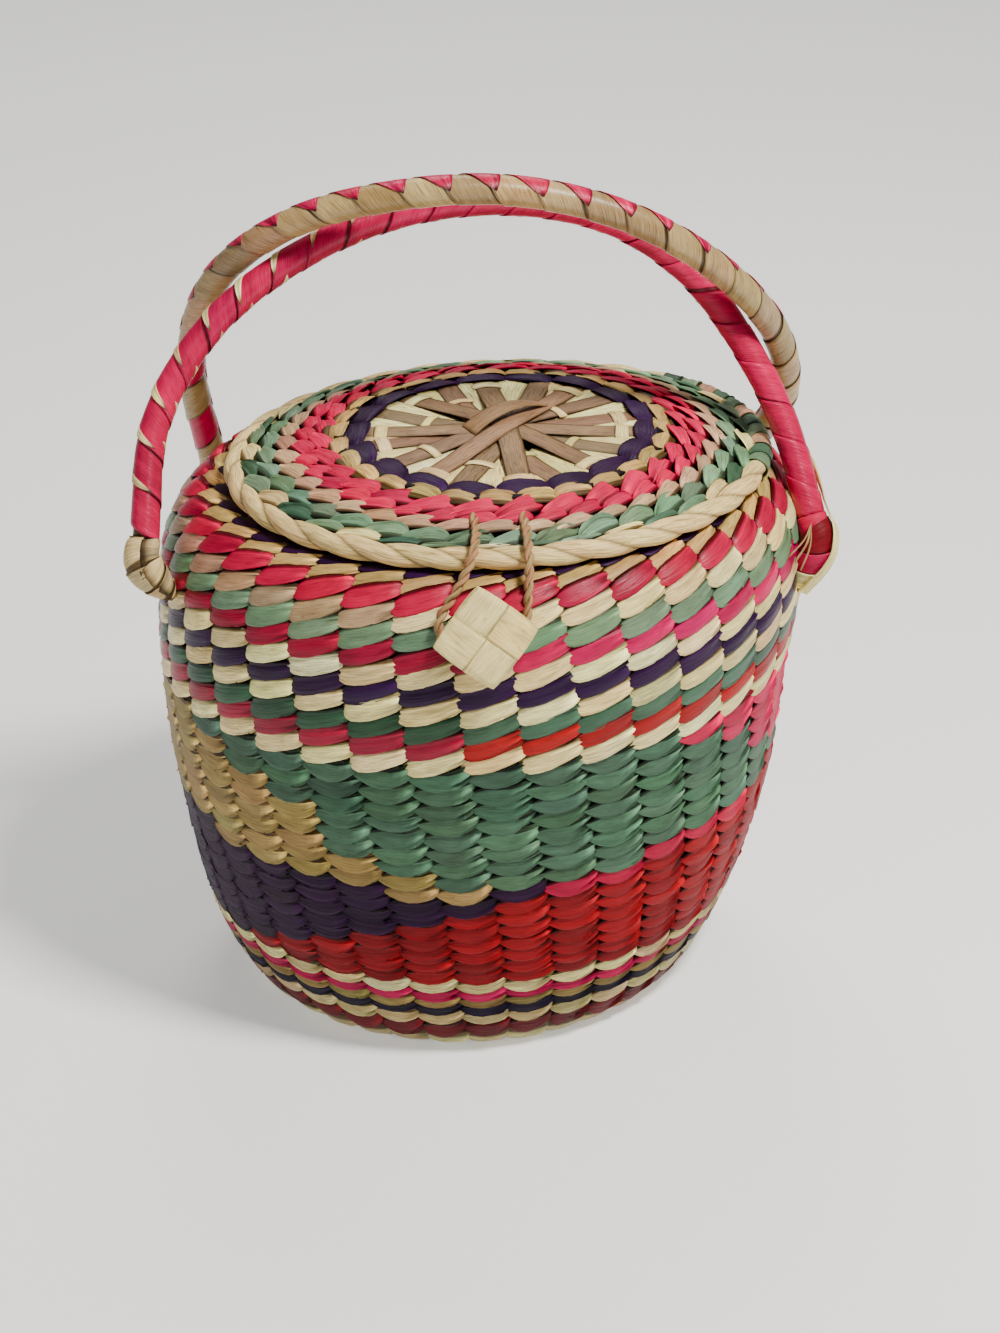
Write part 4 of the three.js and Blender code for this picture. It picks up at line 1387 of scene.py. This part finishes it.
rng = np.random.default_rng(71)
bulb_places = np.linspace(0, 1, LASHING_STEPS)
radii = np.interp(bulb_places, np.linspace(0, 1, len(LASHING_RADII)), LASHING_RADII)
for lashing_name, route, at_start, tip, turn_dyes in LASHINGS:
    whole = curve_through(route, HANDLE_STEPS)
    end, before = (whole[0], whole[2]) if at_start else (whole[-1], whole[-3])
    lead = end + unit(end - before) * LASHING_LEAD
    line = curve_through([end, lead, tip], LASHING_STEPS)
    surface, length = wound_surface(line, radii - BINDING_DEPTH)
    where = np.arange(LASHING_FROM, length - LASHING_TRIM, BINDING_PITCH)
    angle = math.radians(FACING) + ANGLE_SPREAD * rng.normal(0, 1, len(where))
    names = [turn_dyes[min(k, len(turn_dyes) - 1)] for k in range(len(where))]
    batches = [stitches(surface, angle, where, BINDING_HALF, BINDING_PITCH, BINDING_LENGTH, names, BINDING,
                        rng, steps=TURN_STEPS)]
    batches.append(core_batch(line, radii - BULB_DEPTH, BULB_SIDES, BULB_GIRTH, BULB_PAINTED_SHADE, rng))
    if lashing_name == LOOSE_LASHING:
        batches += loose_ends(whole, surface, length, rng)
    add_piece(lashing_name + "_turns", batches, plain_palm, "lashing_palm", lashing_name)


# %% [markdown]
# At the right end of the lid green and tan strands are wound over the rope, so that the rope is lost under
# them there. They are turns like those of a lashing, on a surface round a stretch of the rope's own line.

# %% Strands wound over the rope
COVER_FROM, COVER_TO, COVER_FACING = np.radians([-22, 40, -60])
COVER_PITCH, COVER_RADIUS, COVER_LENGTH, COVER_SPREAD, COVER_STEPS = 8.5, 4.2, 20, 0.2, 80
COVER_DYES = ["sage", "green", "tan"]
COVER_STITCH = dict(BINDING, pleat=0.2)
rng = np.random.default_rng(75)
cover_line = rope_path(np.linspace(COVER_FROM, COVER_TO, COVER_STEPS))
surface, length = wound_surface(cover_line, COVER_RADIUS)
where = np.arange(COVER_PITCH / 2, length, COVER_PITCH)
angle = COVER_FACING + COVER_SPREAD * rng.normal(0, 1, len(where))
names = [COVER_DYES[k % len(COVER_DYES)] for k in range(len(where))]
cover = stitches(surface, angle, where, BINDING_HALF, COVER_PITCH, COVER_LENGTH, names, COVER_STITCH, rng,
                 steps=TURN_STEPS)
add_piece("lid_rope_cover", [cover], lid_palm, "lid_palm", "lid_rim")


# %% [markdown]
# Underneath, the base is worked like the lid: rings of undyed leaf round a small middle. Only its edge is
# ever seen, but the bag may be turned over, so a few plain rings are laid on the flat of the base, facing
# down.

# %% Rings of the base
BASE_Z, BASE_SHIFT, BASE_RATIO, BASE_PITCH = 2.1, -8.5, 0.95, 9.2
BASE_RINGS = [
    # half width, stitches
    (71, 36), (62, 36), (53, 27), (44, 27), (35, 18), (26, 18), (17, 12), (8, 9),
]
BASE_STITCH = dict(ARCH, crest=[-0.6, 0, 0.5, 0.5, 0, -0.6], crown=0.3, tilt=0.7, pleat=0.1, crumple=0.1)


def base_surface(angle, width, out):
    """Points of the underside at an angle and a half width, moved down by out."""
    x = BASE_SHIFT + width * np.cos(angle)
    y = BASE_RATIO * width * np.sin(angle)
    return np.stack([x, y, np.maximum(BASE_Z - out, FLOOR_CLEARANCE)], -1)


rng = np.random.default_rng(77)
base_batches = []
for width, count in BASE_RINGS:
    angle = ring_angles(count, 0.5 * rng.random())
    base_batches.append(ring_of_stitches(
        base_surface, angle, width, BASE_PITCH, ["natural"] * count, BASE_STITCH, rng))
add_piece("base_rings", base_batches, plain_palm, "body_palm", "body_wall")


# %% [markdown]
# The button is a small plaited square that hangs cornerwise and leans back with the shoulder. It is built
# lying flat round the origin, where a plait is easy to think about, and its points are turned into place at
# the end. Its corners are drawn in and its edges turned down, as the folded strips pull them.

# %% Place of the button
BUTTON_CENTRE = np.array([-16, -108, 191.5])
BUTTON_SIDE = 28
BUTTON_LEAN, BUTTON_TURN = math.radians(14.5), math.radians(50)
CORNER_DRAW, EDGE_DROOP, DROOPS = 0.06, 1.1, (0.84, 1)


def on_button(points):
    """Points of the lying square, turned and leaned into place."""
    tilt = math.pi / 2 - BUTTON_LEAN
    lean = np.array([[1, 0, 0], [0, math.cos(tilt), -math.sin(tilt)], [0, math.sin(tilt), math.cos(tilt)]])
    spin = np.array([
        [math.cos(BUTTON_TURN), -math.sin(BUTTON_TURN), 0],
        [math.sin(BUTTON_TURN), math.cos(BUTTON_TURN), 0],
        [0, 0, 1],
    ])
    return np.asarray(points) @ spin.T @ lean.T + BUTTON_CENTRE


def rounded_square(points):
    """Points of the lying square with its corners drawn in and its edges turned down."""
    reach = np.abs(points[..., :2]) / (BUTTON_SIDE / 2)
    drawn = 1 - CORNER_DRAW * reach.prod(-1) ** 3
    down = EDGE_DROOP * fade(reach.max(-1), *DROOPS)
    return np.concatenate([points[..., :2] * drawn[..., None], (points[..., 2] - down)[..., None]], -1)


print("the button is", BUTTON_SIDE, "mm across")


# %% [markdown]
# Two strips are folded over two others, so that each quarter's grain runs across that of its neighbours.
# Each strip is over the others along one half and under them along the other. Between front and back lies
# the thickness of the folds, as one plain padding.

# %% Plaited button
PLAIT = [((1, 0, 0), -1), ((1, 0, 0), 1), ((0, 1, 0), -1), ((0, 1, 0), 1)]  # heading, and which side of it
PLAIT_STEPS, PLAIT_LIFT, PLAIT_THICKNESS, PLAIT_GAP = 41, 1.5, 0.9, 0.06
CROSSING, CROSSING_STEEPNESS = 0.4, 14
PADDING_HALF, PADDING_Z, PADDING_THICKNESS, PADDING_STEPS = 12.6, 0.4, 2.3, 9
rng = np.random.default_rng(81)
quarter = BUTTON_SIDE / 4
plait_lines, plait_sides = [], []
reach = np.linspace(-1, 1, PLAIT_STEPS)
crossing = CROSSING * np.tanh(CROSSING_STEEPNESS * reach)  # over at one half and under at the other
for heading, which in PLAIT:
    heading = np.array(heading, float)
    side = np.array([-heading[1], heading[0], 0])
    line = np.outer(reach * BUTTON_SIDE / 2, heading) + side * which * quarter
    plait_lines.append(line + np.outer(PLAIT_LIFT + which * crossing, UP))
    plait_sides.append(np.broadcast_to(side, line.shape))
plait = ribbons(plait_lines, plait_sides, [quarter - PLAIT_GAP] * 4, ["button"] * 4, PLAIT_THICKNESS, rng,
                crown=0.1)
plait["points"] = on_button(rounded_square(plait["points"]))
padding_reach = np.linspace(-PADDING_HALF, PADDING_HALF, PADDING_STEPS)
padding_line = np.outer(padding_reach, (1, 0, 0)) + np.array([0, 0, PADDING_Z])
padding_side = np.broadcast_to((0, 1, 0), padding_line.shape)
padding = ribbons(
    [padding_line], [padding_side], [PADDING_HALF], ["button"], PADDING_THICKNESS, rng, crown=0.0)
padding["points"] = on_button(padding["points"])
add_piece("button_plait", [plait, padding], plain_palm, "button_palm", "closure_button")


# %% [markdown]
# A short twisted stem ties the button to the wall. It is hidden behind it, so a plain two-ply twist like the
# cord's is enough, on a line that goes straight back from the button's middle.

# %% Stem of the button
STEM_FROM, STEM_LENGTH, STEM_STEPS = -2.3, 5.5, 12
STEM_OFFSET, STEM_TURN, STEM_PLY = 0.9, 9, 1.1
stem_line = on_button(np.outer(np.linspace(STEM_FROM, STEM_FROM - STEM_LENGTH, STEM_STEPS), UP))
stem = twist(stem_line, STEM_OFFSET, STEM_TURN, STEM_PLY, ["natural", "natural"], rng)
add_piece("button_stem_cord", [stem], cord_palm, "cord_palm", "button_stem")
